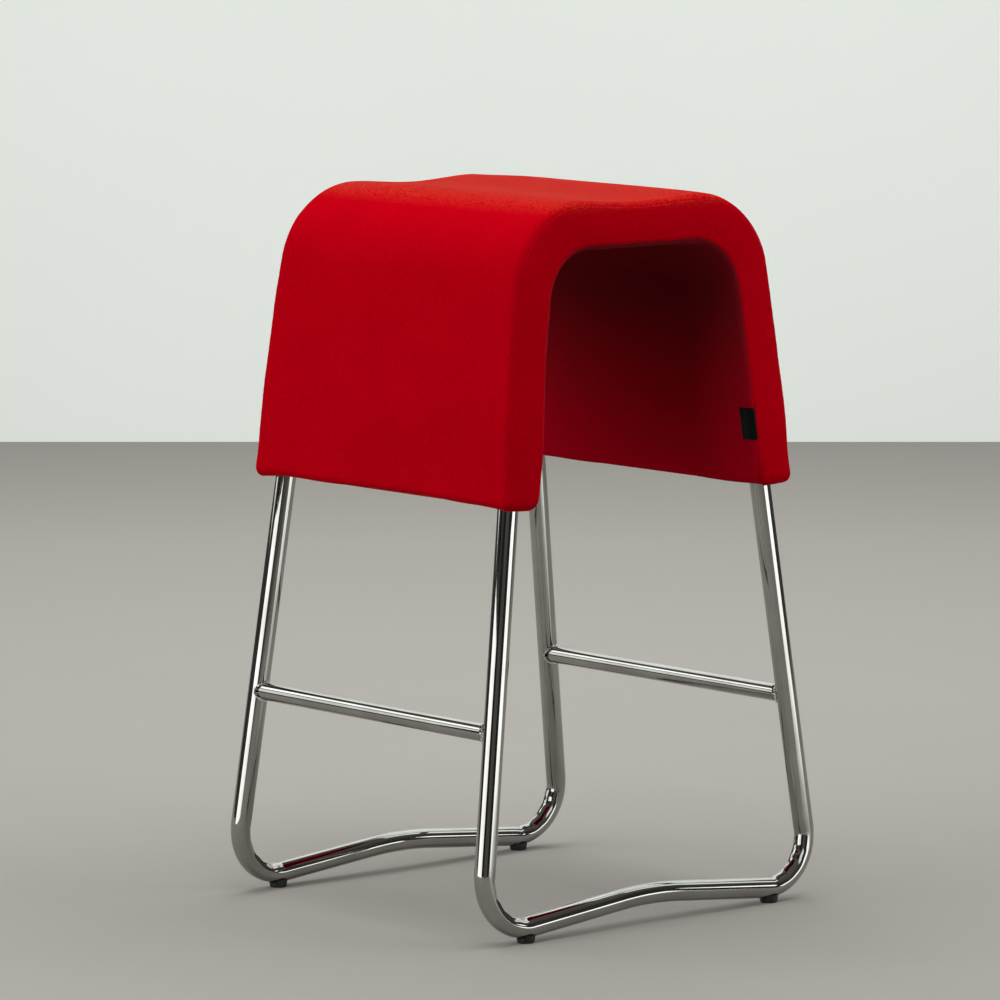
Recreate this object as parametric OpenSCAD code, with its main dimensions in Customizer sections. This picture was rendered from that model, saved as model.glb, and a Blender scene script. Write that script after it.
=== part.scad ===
// Upholstered arch stool on a bent chrome tube frame.
// The origin is on the floor under the middle of the seat: X across the arch, Y along it, Z up.

/* [Frame] */
// Outer diameter of the main tube
tube_d = 19; // [18:0.5:20]
// Wall of the main tube
tube_wall = 1.5; // [1:0.25:2.5]
// Distance between the glides, side to side
foot_span_x = 295; // [260:5:330]
// Distance between the glides, front to back
foot_span_y = 353; // [320:1:390]
// Inward lean of the legs in the plane of a frame, in degrees
leg_lean = 7.35; // [6:0.05:8.5]
// Inward lean of a whole frame towards the middle of the stool, in degrees
frame_lean = 3; // [2:0.25:4]
// Radius of the floor bends at the tube's centre line
bend_r = 46; // [38:1:52]
// Slope of the floor runner from each bend up to its crest, in degrees
runner_slope = 5.6; // [4:0.2:8]
// Radius of the runner's crest at the tube's centre line
crest_r = 370; // [200:10:600]
// How much the tube draws down in its bends, on the radius
bend_draw = 0.2; // [0.15:0.05:0.3]
// Length of leg held inside the seat
leg_in_seat = 90; // [84:1:110]

/* [Footrests] */
// Outer diameter of a footrest bar
footrest_d = 16; // [12:0.5:17]
// Wall of a footrest bar
footrest_wall = 1.5; // [1:0.25:2.5]
// Height of the footrests above the floor
footrest_h = 189; // [120:1:300]
// Throat of the weld bead round each end of a footrest
weld_size = 1.2; // [0.8:0.1:1.4]

/* [Glides] */
// Diameter of a glide where it cups the tube
glide_d = 17.5; // [15:0.5:18.5]
// Diameter of a glide's sole
sole_d = 15.5; // [13:0.5:17]
// Height of a glide's rim above the floor
glide_h = 7.5; // [6:0.25:9]
// Thickness of a glide's pad between the tube and the floor
glide_pad = 4; // [3:0.25:5]
// Diameter of the peg that plugs a glide into the tube
peg_d = 8; // [5:0.5:9]
// Clearance round a peg in its hole
peg_fit = 0.15; // [0.1:0.05:0.3]

/* [Seat] */
// Height of the seat's shoulders above the floor
seat_h = 655; // [620:5:700]
// Height of the side panels' bottom edge above the floor
skirt_h = 390; // [370:5:410]
// Thickness of a side panel at its bottom edge
panel_t = 43.5; // [43:0.5:48]
// Thickness of the seat's top
top_t = 43.5; // [40:0.5:55]
// Distance from a leg's centre line to the outer face of its panel, at the bottom edge
panel_out = 20; // [19:0.5:23]
// Distance from a leg's centre line to the seat's front or rear face, at the bottom edge
end_out = 24.5; // [23:0.5:32]
// How much less the side panels lean than the legs, in degrees
panel_relief = 1.5; // [1.2:0.1:2]
// How much more the front and rear faces lean than the frames, in degrees
end_relief = 0.5; // [0:0.1:1]
// Outer radius of the shoulders
shoulder_r = 80; // [70:1:90]
// Radius of the tunnel's upper corners
tunnel_r = 50; // [45:1:56]
// Angle from the vertical at which the shoulder arc starts, in degrees
shoulder_from = 9.9; // [8:0.1:12]
// Angle from the vertical at which the tunnel's corner arc starts, in degrees
tunnel_from = 8.2; // [7:0.1:10]
// Radius of the soft edges round the front and rear faces
edge_r = 8.5; // [8:0.5:11]
// Radius of the soft edge round the bottom of each panel
skirt_r = 7; // [5:0.5:7.5]
// Dip of the seat's top between its shoulders
saddle_dip = 3; // [0:0.5:8]
// Crown of the seat's top from front to back
top_crown = 2.5; // [0:0.5:6]
// Crown of the side panels and of the tunnel's walls
side_crown = 1; // [0:0.25:2]
// Puff of the front and rear faces
end_puff = 1; // [0:0.25:2.5]
// How far the bottom corners hang down round the legs
corner_droop = 3; // [0:0.5:4]
// How far the lining hangs down along the tunnel
lining_droop = 3; // [0:0.5:4]
// How far the side panels flare out at their bottom edge
hem_flare = 2.5; // [0:0.5:3]
// Height of the stretch over which the panels flare
flare_h = 60; // [40:5:80]

/* [Seat layers] */
// Thickness of the felt cover
cover_t = 1.5; // [1:0.1:2]
// Thickness of the pressed plywood shell
ply_t = 6.5; // [5:0.25:7]
// Depth of padding over the shell's front and rear edges
edge_pad = 10; // [8:0.5:12]
// Depth of padding and felt between the shell and the top of the tunnel
tunnel_pad = 7; // [6:0.5:9]
// Space between the padding and the shell, the legs and their fixings
pad_gap = 0.3; // [0.25:0.05:0.5]

/* [Fixings] */
// Diameter of the leg bolts
bolt_d = 6; // [5:0.5:6]
// Height of the lower bolts above the panels' bottom edge
bolt_low = 24; // [20:1:30]
// Distance between the two bolts of a leg
bolt_pitch = 42; // [30:1:50]
// Diameter of a saddle washer
washer_d = 12; // [10:0.5:13]
// Thickness of a saddle washer over the crown of the tube
washer_t = 2.5; // [1.5:0.25:3]
// Diameter of a bolt's round head
head_d = 10.5; // [9:0.5:11]
// Height of a bolt's round head
head_h = 3.3; // [2.5:0.1:3.5]
// Diameter of a tee nut's flange
flange_d = 18; // [14:0.5:20]
// Thickness of a tee nut's flange
flange_t = 1.2; // [0.8:0.1:1.4]
// Diameter of a tee nut's barrel
barrel_d = 8; // [7.5:0.25:9]
// Clearance round the bolts and round the barrels
bolt_fit = 0.2; // [0.1:0.05:0.3]

/* [Label] */
// Height of the blank woven label
label_h = 30; // [15:1:45]
// How far the label reaches into the tunnel
label_w = 7; // [4:1:20]
// Height of the label's lower edge above the panels' bottom edge
label_up = 38; // [20:1:90]
// Thickness of the label
label_t = 0.8; // [0.5:0.1:1.2]

/* [Hidden] */
$fn = 48;

// Small distance by which a cutting shape runs past what it cuts
cut = 1;
// Length of a cutting tool that passes through everything
through = 1000;

chrome_colour = [0.78, 0.79, 0.8];
black_colour = [0.06, 0.06, 0.06];
felt_colour = [0.72, 0.03, 0.06];
felt_dark_colour = [0.5, 0.01, 0.04];
foam_colour = [0.93, 0.9, 0.78];
ply_colour = [0.82, 0.68, 0.47];
steel_colour = [0.62, 0.62, 0.6];

tube_r = tube_d / 2;
footrest_r = footrest_d / 2;
// Height of the tube's centre line where it is nearest the floor
axis_h = glide_pad + tube_r;
// In the plane of a frame, u runs sideways and v runs up the lean, from the floor line
bend_u = foot_span_x / 2;
bend_v = axis_h / cos(frame_lean) + bend_r;
// How far in front of the middle a frame's plane meets the floor
floor_y = foot_span_y / 2 + axis_h * tan(frame_lean);
leg_foot = [bend_u + bend_r * cos(leg_lean), bend_v + bend_r * sin(leg_lean)];
leg_top_v = (skirt_h + leg_in_seat) / cos(frame_lean);
leg_tan = tan(leg_lean) / cos(frame_lean);
leg_side_lean = atan(leg_tan);

function leg_u(v) = leg_foot[0] - (v - leg_foot[1]) * tan(leg_lean);
function leg_x(z) = leg_u(z / cos(frame_lean));
function leg_y(z) = floor_y - z * tan(frame_lean);

// Places the plane of a frame: drawn upright in XZ, it ends up leaning in from the front or the rear
module in_frame_plane(side) {
    rotate([0, 0, side > 0 ? 180 : 0])
        translate([0, -floor_y, 0])
            rotate([-frame_lean, 0, 0])
                children();
}

// Length over which a straight narrows into a bend, and by which its bore laps into the bend's
narrow_h = 2;
bore_lap = 0.3;

// A straight length of tube in the XZ plane from one point to another, as the solid it fills or as
// its bore. Its ends are 1 where they run into a bend, and 0 where they are open.
module tube_run(from, to, ends, bore) {
    run = to - from;
    length = norm(run);
    narrow_r = tube_r - 2 * bend_draw;
    starts = bore ? [for (end = ends) end > 0 ? bore_lap : cut] : narrow_h * ends;
    translate([from[0], 0, from[1]])
        rotate([0, atan2(run[0], run[1]), 0])
            rotate_extrude()
                if (bore)
                    translate([0, -starts[0]])
                        square([tube_r - tube_wall, length + starts[0] + starts[1]]);
                else
                    polygon(concat([[0, -starts[0]]],
                        ends[0] > 0 ? [[narrow_r, -starts[0]]] : [],
                        [[tube_r, 0], [tube_r, length]],
                        ends[1] > 0 ? [[narrow_r, length + starts[1]]] : [],
                        [[0, length + starts[1]]]));
}

// A bend in the XZ plane about centre, from angle start through sweep, measured from +X towards
// +Z, as the solid it fills or as its bore
module tube_bend(centre, bend, start, sweep, bore) {
    translate([centre[0], 0, centre[1]])
        rotate([90, 0, 0])
            rotate([0, 0, start])
                rotate_extrude(angle = sweep)
                    translate([bend, 0])
                        circle(r = tube_r - bend_draw - (bore ? tube_wall : 0));
}

runner_start = [bend_u - bend_r * sin(runner_slope), bend_v - bend_r * cos(runner_slope)];
crest_start_u = crest_r * sin(runner_slope);
crest_start_v = runner_start[1] + (runner_start[0] - crest_start_u) * tan(runner_slope);
crest_centre_v = crest_start_v - crest_r * cos(runner_slope);

module leg(bore) {
    tube_run(leg_foot, [leg_u(leg_top_v), leg_top_v], [1, 0], bore);
}

module floor_bend(bore) {
    tube_bend([bend_u, bend_v], bend_r, -90 - runner_slope, 90 + runner_slope + leg_lean, bore);
}

module runner(bore) {
    tube_run([crest_start_u, crest_start_v], runner_start, [1, 1], bore);
}

// Leg, floor bend, runner that climbs to a soft crest, bend and leg
module tube_path(bore) {
    for (side = [0, 1])
        mirror([side, 0, 0]) {
            leg(bore);
            floor_bend(bore);
            runner(bore);
        }
    tube_bend([0, crest_centre_v], crest_r, 90 - runner_slope, 2 * runner_slope, bore);
}

// Turns children from upright to the lean of the front leg on the +X side
module along_leg() {
    rotate([-frame_lean, 0, 0])
        rotate([0, -leg_lean, 0])
            children();
}

// Puts children on the centre line of each of the four legs at a height
module at_legs(z) {
    for (x_side = [0, 1], y_side = [0, 1])
        mirror([x_side, 0, 0])
            mirror([0, y_side, 0])
                translate([leg_x(z), -leg_y(z), z])
                    children();
}

// The length of each leg at the origin, as a solid cylinder of radius r
module leg_line(r) {
    along_leg()
        cylinder(h = through, r = r, center = true);
}

bolt_heights = [skirt_h + bolt_low, skirt_h + bolt_low + bolt_pitch];
bolt_hole_d = bolt_d + 2 * bolt_fit;

// Turns children so that Z points squarely out of the seat shell, to the panel's outer face
module out_of_shell() {
    rotate([0, 90 - leg_side_lean, 0])
        children();
}

module at_bolts() {
    for (z = bolt_heights)
        at_legs(z)
            out_of_shell()
                children();
}

module bolt_holes() {
    at_bolts()
        cylinder(h = 2 * tube_d, d = bolt_hole_d, center = true);
}

module at_glides() {
    for (x_side = [-1, 1], y_side = [-1, 1])
        translate([x_side * bend_u, y_side * foot_span_y / 2, 0])
            children();
}

module frame(side) {
    color(chrome_colour)
        difference() {
            in_frame_plane(side) tube_path(false);
            in_frame_plane(side) tube_path(true);
            bolt_holes();
            at_glides()
                cylinder(h = axis_h, d = peg_d + 2 * peg_fit);
        }
}

module front_frame() { frame(-1); }
module rear_frame() { frame(1); }

// The solid cylinders that the two legs on one side fill, which cope the ends of the footrest
module leg_solids(x_side) {
    for (side = [-1, 1])
        in_frame_plane(side)
            mirror([x_side * side > 0 ? 1 : 0, 0, 0])
                leg(false);
}

module footrest(x_side) {
    length = 2 * leg_y(footrest_h);
    color(chrome_colour)
        difference() {
            translate([x_side * leg_x(footrest_h), 0, footrest_h])
                rotate([90, 0, 0])
                    difference() {
                        cylinder(h = length, r = footrest_r, center = true);
                        cylinder(h = length + 2 * cut, r = footrest_r - footrest_wall, center = true);
                    }
            leg_solids(x_side);
        }
}

module footrest_left() { footrest(-1); }
module footrest_right() { footrest(1); }

// A bead of weld fills the corner between a footrest's end and the leg
module weld_bead() {
    difference() {
        intersection() {
            rotate([-90, 0, 0])
                cylinder(h = tube_d, r = footrest_r + weld_size);
            leg_line(tube_r + weld_size);
        }
        leg_line(tube_r);
        rotate([-90, 0, 0])
            cylinder(h = through, r = footrest_r, center = true);
    }
}

module footrest_welds() {
    color(chrome_colour)
        at_legs(footrest_h)
            weld_bead();
}

// A glide cups the underside of the floor bend, and its peg plugs into the tube
module glide(x_side, y_side) {
    color(black_colour)
        union() {
            difference() {
                translate([x_side * bend_u, y_side * foot_span_y / 2, 0])
                    cylinder(h = glide_h, d1 = sole_d, d2 = glide_d);
                in_frame_plane(y_side)
                    mirror([x_side * y_side > 0 ? 1 : 0, 0, 0]) {
                        runner(false);
                        floor_bend(false);
                    }
            }
            translate([x_side * bend_u, y_side * foot_span_y / 2, glide_pad / 2])
                cylinder(h = axis_h - glide_pad / 2 - tube_wall, d = peg_d);
        }
}

module glide_front_left() { glide(-1, -1); }
module glide_front_right() { glide(1, -1); }
module glide_rear_left() { glide(-1, 1); }
module glide_rear_right() { glide(1, 1); }

// An arch outline is [half width at the panels' bottom edge, lean of its sides, angle at which its
// corner arc starts, corner radius, height of its top], sizes in mm and angles in degrees
seat_side_lean = leg_side_lean - panel_relief;
outer_arch = [leg_x(skirt_h) + panel_out, seat_side_lean, shoulder_from, shoulder_r, seat_h];
tunnel_arch = [outer_arch[0] - panel_t, seat_side_lean, tunnel_from, tunnel_r, seat_h - top_t];
// How much tighter the shell's corners are bent than padding of one thickness would need
shell_corner_tight = 2;
shell_out_arch = [leg_x(skirt_h) - tube_r / cos(leg_side_lean), leg_side_lean, leg_side_lean,
    tunnel_r + ply_t - shell_corner_tight, seat_h - top_t + tunnel_pad + ply_t];
shell_in_arch = grown(shell_out_arch, -ply_t);

// The arch that lies d outside another one, measured square to it
function grown(arch, d) =
    [arch[0] + d / cos(arch[1]), arch[1], arch[2], arch[3] + d, arch[4] + d];

// Height of an arch's sides, from the panels' bottom edge to where the corner arc starts
function side_h(arch) = arch[4] - arch[3] * (1 - sin(arch[2])) - skirt_h;

// Half width of an arch's side at a height above the bottom edge: a straight lean, swelling
// enough to meet the corner arc without a kink
function side_x(arch, up) =
    arch[0] - up * tan(arch[1])
        + up * (1 - up / side_h(arch)) * (tan(arch[2]) - tan(arch[1]));

function corner_x(arch) = side_x(arch, side_h(arch)) - arch[3] * cos(arch[2]);

// Point of an arch's right half at station t: 0 to 1 up the side above the soft bottom edge,
// 1 to 2 round the corner and 2 to 3 along the top to the middle
function arch_point(arch, t) =
    t <= 1 ? let (up = skirt_r + t * (side_h(arch) - skirt_r)) [side_x(arch, up), skirt_h + up]
    : t <= 2 ? let (a = arch[2] + (90 - arch[2]) * (t - 1))
        [corner_x(arch) + arch[3] * cos(a), arch[4] - arch[3] + arch[3] * sin(a)]
    : [corner_x(arch) * (3 - t), arch[4]];

// Half depth of the seat at a height
function end_y(z) =
    leg_y(skirt_h) + end_out - (z - skirt_h) * tan(frame_lean + end_relief);

// Steps along one half of the arch: negative stations go round the soft bottom edge
side_steps = 5;
corner_steps = 8;
top_steps = 4;
// Angles round the soft bottom edge at which the cover has a ring
hem_turns = [0, 40];
upper_stations = concat([for (i = [0 : side_steps]) i / side_steps],
    [for (i = [1 : corner_steps]) 1 + i / corner_steps],
    [for (i = [1 : top_steps]) 2 + i / top_steps]);
cover_stations = concat([for (turn = hem_turns) turn / 90 - 1], upper_stations);
// The padding's lowest ring is flat, just inside the cover's ring at pad_foot
flat_ring = -2;
pad_foot = hem_turns[1] / 90 - 1;
pad_stations = concat([flat_ring], upper_stations);

// How far a skin at depth d is drawn in at a station, and how high it lies above the bottom edge
function hem_inset(t, d) =
    t == flat_ring ? hem_inset(pad_foot, d) + pad_gap
    : t < 0 ? skirt_r - (skirt_r - d) * sin(90 * (t + 1))
    : d;
function hem_up(t, d) =
    t == flat_ring ? hem_up(pad_foot, d) + pad_gap
    : skirt_r - (skirt_r - d) * cos(90 * (t + 1));

// Point of an arch at any station, grown by g; at the bottom edge the height follows the hem
function section_point(arch, t, g, d) =
    t < 0 ? [side_x(grown(arch, g), hem_up(t, d)), skirt_h + hem_up(t, d)]
    : arch_point(grown(arch, g), t);

// Dip of the seat's top between the shoulders
function dip(t, x, arch) = t <= 2 ? 0 : saddle_dip * pow(cos(90 * x / corner_x(arch)), 2);

// Crown of the outer face and of the tunnel's face at a station
function outer_crown(t) =
    t <= 0 ? 0 : t <= 1 ? side_crown * sin(90 * t)
    : side_crown + (top_crown - side_crown) * (min(t, 2) - 1);
function tunnel_crown(t) = t <= 0 ? 0 : side_crown * sin(90 * min(t, 1));

// How far the edge of a panel hangs down, at a share of the way from the middle to the end; its
// outer edge hangs at the corners alone
corner_share = 0.76;
function hang(t, share, on_tunnel) =
    let (corner = min(1, max(0, (abs(share) - corner_share) / (1 - corner_share))))
    t > 0 || t == flat_ring ? 0
    : corner_droop * corner + (on_tunnel ? lining_droop * (1 - corner) : 0);

// How far a panel flares out at a height above its bottom edge
function flare(up) = hem_flare * pow(max(0, 1 - up / flare_h), 2);

// What a point of a section ring lies on
OUTER = 0;
TUNNEL = 1;
OUTER_EDGE = 2;
TUNNEL_EDGE = 3;
PARTING = 4;
SHELL_TUNNEL_EDGE = 5;
SHELL_OUTER_EDGE = 6;

// Place of a ring point: mark is [what it lies on, share of the half depth or -1 or 1 for an
// end, angle round the soft edge], and d is the depth of the skin below the surface
function place(t, mark, d) =
    let (inset = hem_inset(t, d),
        on_tunnel = mark[0] == TUNNEL || mark[0] == TUNNEL_EDGE,
        soft = edge_r - inset,
        round_in = edge_r - soft * cos(mark[2]),
        depth = mark[0] == OUTER ? inset - outer_crown(t) * (1 - pow(mark[1], 2))
            : mark[0] == TUNNEL ? inset - tunnel_crown(t) * (1 - pow(mark[1], 2))
            : round_in,
        xz = mark[0] == SHELL_OUTER_EDGE ? section_point(shell_out_arch, t, pad_gap, d)
            : mark[0] == SHELL_TUNNEL_EDGE ? section_point(shell_in_arch, t, -pad_gap, d)
            : mark[0] == PARTING ? (section_point(outer_arch, t, 0, d)
                + section_point(tunnel_arch, t, 0, d)) / 2
            : on_tunnel ? section_point(tunnel_arch, t, depth, d)
            : section_point(outer_arch, t, -depth, d),
        sag = (mark[0] == OUTER || mark[0] == OUTER_EDGE ? dip(t, xz[0], outer_arch) : 0)
            + (mark[0] > PARTING ? 0 : hang(t, mark[1], on_tunnel)),
        out = mark[0] > PARTING ? 0 : flare(xz[1] - skirt_h),
        y_edge = end_y(xz[1]) - edge_r,
        y = mark[0] == OUTER || mark[0] == TUNNEL ? mark[1] * y_edge
            : mark[0] == PARTING ? mark[1] * (end_y(xz[1]) - inset + end_puff)
            : mark[0] > PARTING ? mark[1] * (end_y(xz[1]) - edge_pad + pad_gap)
            : mark[1] * (y_edge + soft * sin(mark[2])))
    [xz[0] + out, y, xz[1] - sag];

// Rings over the whole arch, from the right-hand panel's bottom edge to the left-hand one's
function arch_rings(stations, marks, d) =
    let (last = len(stations) - 1)
    [for (i = [0 : 2 * last], mark = marks)
        let (p = place(stations[i <= last ? i : 2 * last - i], mark, d))
        [i <= last ? p[0] : -p[0], p[1], p[2]]];

// Marks across the faces, from front to rear, and angles round the soft edges
middle_share = 0.4;
face_shares = [-1, -corner_share, -middle_share, 0, middle_share, corner_share, 1];
edge_turns = [30, 60, 90];
// Angle round the soft edge at which the seam joins the cover to the border
seam_turn = 60;
outer_marks = [for (share = face_shares) [OUTER, share, 0]];
tunnel_marks = [for (share = face_shares) [TUNNEL, -share, 0]];
function edge_marks(face, end, turns) = [for (turn = turns) [face, end, turn]];
function upto(turns, most) = [for (turn = turns) if (turn <= most) turn];
function from(turns, least) = [for (turn = turns) if (turn >= least) turn];
function backwards(list) = [for (i = [len(list) - 1 : -1 : 0]) list[i]];

// The two grids of a sheet's faces, joined round all four sides
function grid_faces(rows, columns, start, flip) =
    [for (i = [0 : rows - 2], j = [0 : columns - 2])
        let (a = start + i * columns + j, b = a + 1, c = a + columns, e = c + 1)
        each flip ? [[a, b, e], [a, e, c]] : [[a, e, b], [a, c, e]]];

function rim_faces(loop, under) =
    [for (k = [0 : len(loop) - 1])
        let (a = loop[k], b = loop[(k + 1) % len(loop)])
        each [[a, b, b + under], [a, b + under, a + under]]];

// A sheet of felt that follows the marks over the whole arch, from its surface to its back
module sheet(marks) {
    rows = 2 * len(cover_stations) - 1;
    columns = len(marks);
    count = rows * columns;
    loop = concat([for (j = [0 : columns - 1]) j],
        [for (i = [1 : rows - 1]) i * columns + columns - 1],
        [for (j = [columns - 2 : -1 : 0]) (rows - 1) * columns + j],
        [for (i = [rows - 2 : -1 : 1]) i * columns]);
    polyhedron(
        points = concat(arch_rings(cover_stations, marks, 0),
            arch_rings(cover_stations, marks, cover_t)),
        faces = concat(grid_faces(rows, columns, 0, false),
            grid_faces(rows, columns, count, true), rim_faces(loop, count)),
        convexity = 10);
}

// A closed ring of marks swept over the arch; caps lists the faces that close its first end, and
// turned the columns whose facets are split the other way, to match the piece they lie against
module swept_pad(marks, caps, turned = []) {
    rows = 2 * len(pad_stations) - 1;
    columns = len(marks);
    points = arch_rings(pad_stations, marks, cover_t);
    walls = [for (i = [0 : rows - 2], j = [0 : columns - 1])
        let (a = i * columns + j, b = i * columns + (j + 1) % columns)
        each search(j, turned) == [] ? [[a, b + columns, b], [a, a + columns, b + columns]]
            : [[a, a + columns, b], [b, a + columns, b + columns]]];
    far_caps = [for (cap = caps) [for (j = backwards(cap)) (rows - 1) * columns + j]];
    polyhedron(points = points, faces = concat(walls, caps, far_caps), convexity = 10);
}

// The plywood shell: straight sides parallel to the legs, and round corners
module seat_shell() {
    shell_steps = 4 * corner_steps;
    outline_stations = [for (i = [0 : shell_steps]) 1 + i / shell_steps];
    shell_bottom = skirt_r - cover_t;
    function half_outline(arch) =
        concat([[side_x(arch, shell_bottom), skirt_h + shell_bottom]],
            [for (t = outline_stations) arch_point(arch, t)]);
    function whole_outline(arch) =
        concat(half_outline(arch), [for (p = backwards(half_outline(arch))) [-p[0], p[1]]]);
    top_y = end_y(seat_h) - edge_pad;
    low_y = end_y(0) - edge_pad;
    color(ply_colour)
        difference() {
            intersection() {
                rotate([90, 0, 0])
                    linear_extrude(height = 2 * low_y, center = true)
                        polygon(concat(whole_outline(shell_out_arch),
                            backwards(whole_outline(shell_in_arch))));
                rotate([90, 0, 90])
                    linear_extrude(height = through, center = true)
                        polygon([[-low_y, 0], [low_y, 0], [top_y, seat_h], [-top_y, seat_h]]);
            }
            at_bolts()
                translate([0, 0, -tube_r - ply_t - cut])
                    cylinder(h = ply_t + 2 * cut, d = barrel_d + 2 * bolt_fit);
        }
}

// Depth of the shell's tunnel face below a leg's centre line
shell_depth = tube_r + ply_t;
// Height of a saddle washer's flat top above a leg's centre line
washer_top = tube_r + washer_t;

// Share of a bolt head's diameter left at its top, and its socket's share of the bolt's diameter
head_taper = 0.72;
socket_share = 0.75;

module leg_bolts() {
    color(steel_colour)
        at_bolts() {
            translate([0, 0, -shell_depth - flange_t])
                cylinder(h = washer_top + shell_depth + flange_t + head_h / 2, d = bolt_d);
            translate([0, 0, washer_top])
                difference() {
                    cylinder(h = head_h, d1 = head_d, d2 = head_d * head_taper);
                    translate([0, 0, head_h / 2])
                        cylinder(h = head_h, d = bolt_d * socket_share, $fn = 6);
                }
        }
}

// A washer with a hollow underside that rides on the round of the tube
module saddle_washers() {
    color(steel_colour)
        for (z = bolt_heights)
            at_legs(z)
                difference() {
                    out_of_shell()
                        difference() {
                            cylinder(h = washer_top, d = washer_d);
                            translate([0, 0, -cut])
                                cylinder(h = washer_top + 2 * cut, d = bolt_hole_d);
                        }
                    leg_line(tube_r);
                }
}

module tee_nuts() {
    color(steel_colour)
        at_bolts()
            difference() {
                union() {
                    translate([0, 0, -shell_depth - flange_t])
                        cylinder(h = flange_t, d = flange_d);
                    translate([0, 0, -shell_depth - flange_t])
                        cylinder(h = flange_t + ply_t - bolt_fit, d = barrel_d);
                }
                translate([0, 0, -shell_depth - flange_t - cut])
                    cylinder(h = flange_t + ply_t + 2 * cut, d = bolt_d + bolt_fit / 2);
            }
}

// Moulded foam over the outside and the ends of the shell, with a groove for each leg
module outer_pad() {
    groove_d = tube_d + 2 * pad_gap;
    groove_top = (leg_in_seat + pad_gap) / cos(leg_lean) / cos(frame_lean) + cut;
    // Corners of the ring: ends of the outer face, then round each end to the shell's edges
    face_end = len(face_shares) - 1;
    rear_corner = face_end + len(edge_turns) + 3;
    front_corner = rear_corner + 1;
    last = front_corner + len(edge_turns) + 2;
    middle_cap = concat([front_corner], [for (j = [0 : face_end]) j], [rear_corner]);
    rear_cap = concat([rear_corner], [for (j = [face_end : rear_corner - 1]) j]);
    front_cap = concat([for (j = [front_corner : last]) j], [0]);
    color(foam_colour)
        difference() {
            swept_pad(concat(outer_marks, edge_marks(OUTER_EDGE, 1, edge_turns),
                [[PARTING, 1, 0], [SHELL_TUNNEL_EDGE, 1, 0], [SHELL_OUTER_EDGE, 1, 0],
                    [SHELL_OUTER_EDGE, -1, 0], [SHELL_TUNNEL_EDGE, -1, 0], [PARTING, -1, 0]],
                edge_marks(OUTER_EDGE, -1, backwards(edge_turns))),
                [middle_cap, rear_cap, front_cap]);
            at_legs(skirt_h)
                along_leg()
                    translate([0, 0, -tube_d]) {
                        cylinder(h = groove_top + tube_d, d = groove_d);
                        translate([-tube_d, -groove_d / 2, 0])
                            cube([tube_d, groove_d, groove_top + tube_d]);
                    }
            at_bolts()
                cylinder(h = washer_top + head_h + pad_gap, d = washer_d + 2 * pad_gap);
        }
}

// Moulded foam that lines the tunnel, with a recess for each tee nut
module inner_pad() {
    // Corners of the ring: ends of the tunnel's face, then the shell's edges
    face_start = len(edge_turns) + 1;
    face_end = face_start + len(face_shares) - 1;
    front_corner = face_end + len(edge_turns) + 2;
    rear_corner = front_corner + 1;
    rear_cap = concat([rear_corner], [for (j = [0 : face_start]) j]);
    middle_cap = concat([rear_corner], [for (j = [face_start : face_end]) j], [front_corner]);
    front_cap = [for (j = [face_end : front_corner]) j];
    color(foam_colour)
        difference() {
            swept_pad(concat([[PARTING, 1, 0]],
                edge_marks(TUNNEL_EDGE, 1, backwards(edge_turns)), tunnel_marks,
                edge_marks(TUNNEL_EDGE, -1, edge_turns), [[PARTING, -1, 0],
                    [SHELL_TUNNEL_EDGE, -1, 0], [SHELL_TUNNEL_EDGE, 1, 0]]),
                [rear_cap, middle_cap, front_cap], [front_corner - 1, rear_corner]);
            at_bolts()
                translate([0, 0, -shell_depth - flange_t - pad_gap])
                    cylinder(h = shell_depth, d = flange_d + 2 * pad_gap);
        }
}

module cover_outer() {
    color(felt_colour)
        sheet(concat(edge_marks(OUTER_EDGE, -1, backwards(upto(edge_turns, seam_turn))),
            outer_marks, edge_marks(OUTER_EDGE, 1, upto(edge_turns, seam_turn))));
}

module cover_inner() {
    color(felt_dark_colour)
        sheet(concat(edge_marks(TUNNEL_EDGE, 1, backwards(upto(edge_turns, seam_turn))),
            tunnel_marks, edge_marks(TUNNEL_EDGE, -1, upto(edge_turns, seam_turn))));
}

module border_rear() {
    color(felt_dark_colour)
        sheet(concat(edge_marks(OUTER_EDGE, 1, from(edge_turns, seam_turn)), [[PARTING, 1, 0]],
            edge_marks(TUNNEL_EDGE, 1, backwards(from(edge_turns, seam_turn)))));
}

module border_front() {
    color(felt_dark_colour)
        sheet(concat(edge_marks(TUNNEL_EDGE, -1, from(edge_turns, seam_turn)),
            [[PARTING, -1, 0]],
            edge_marks(OUTER_EDGE, -1, backwards(from(edge_turns, seam_turn)))));
}

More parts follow.
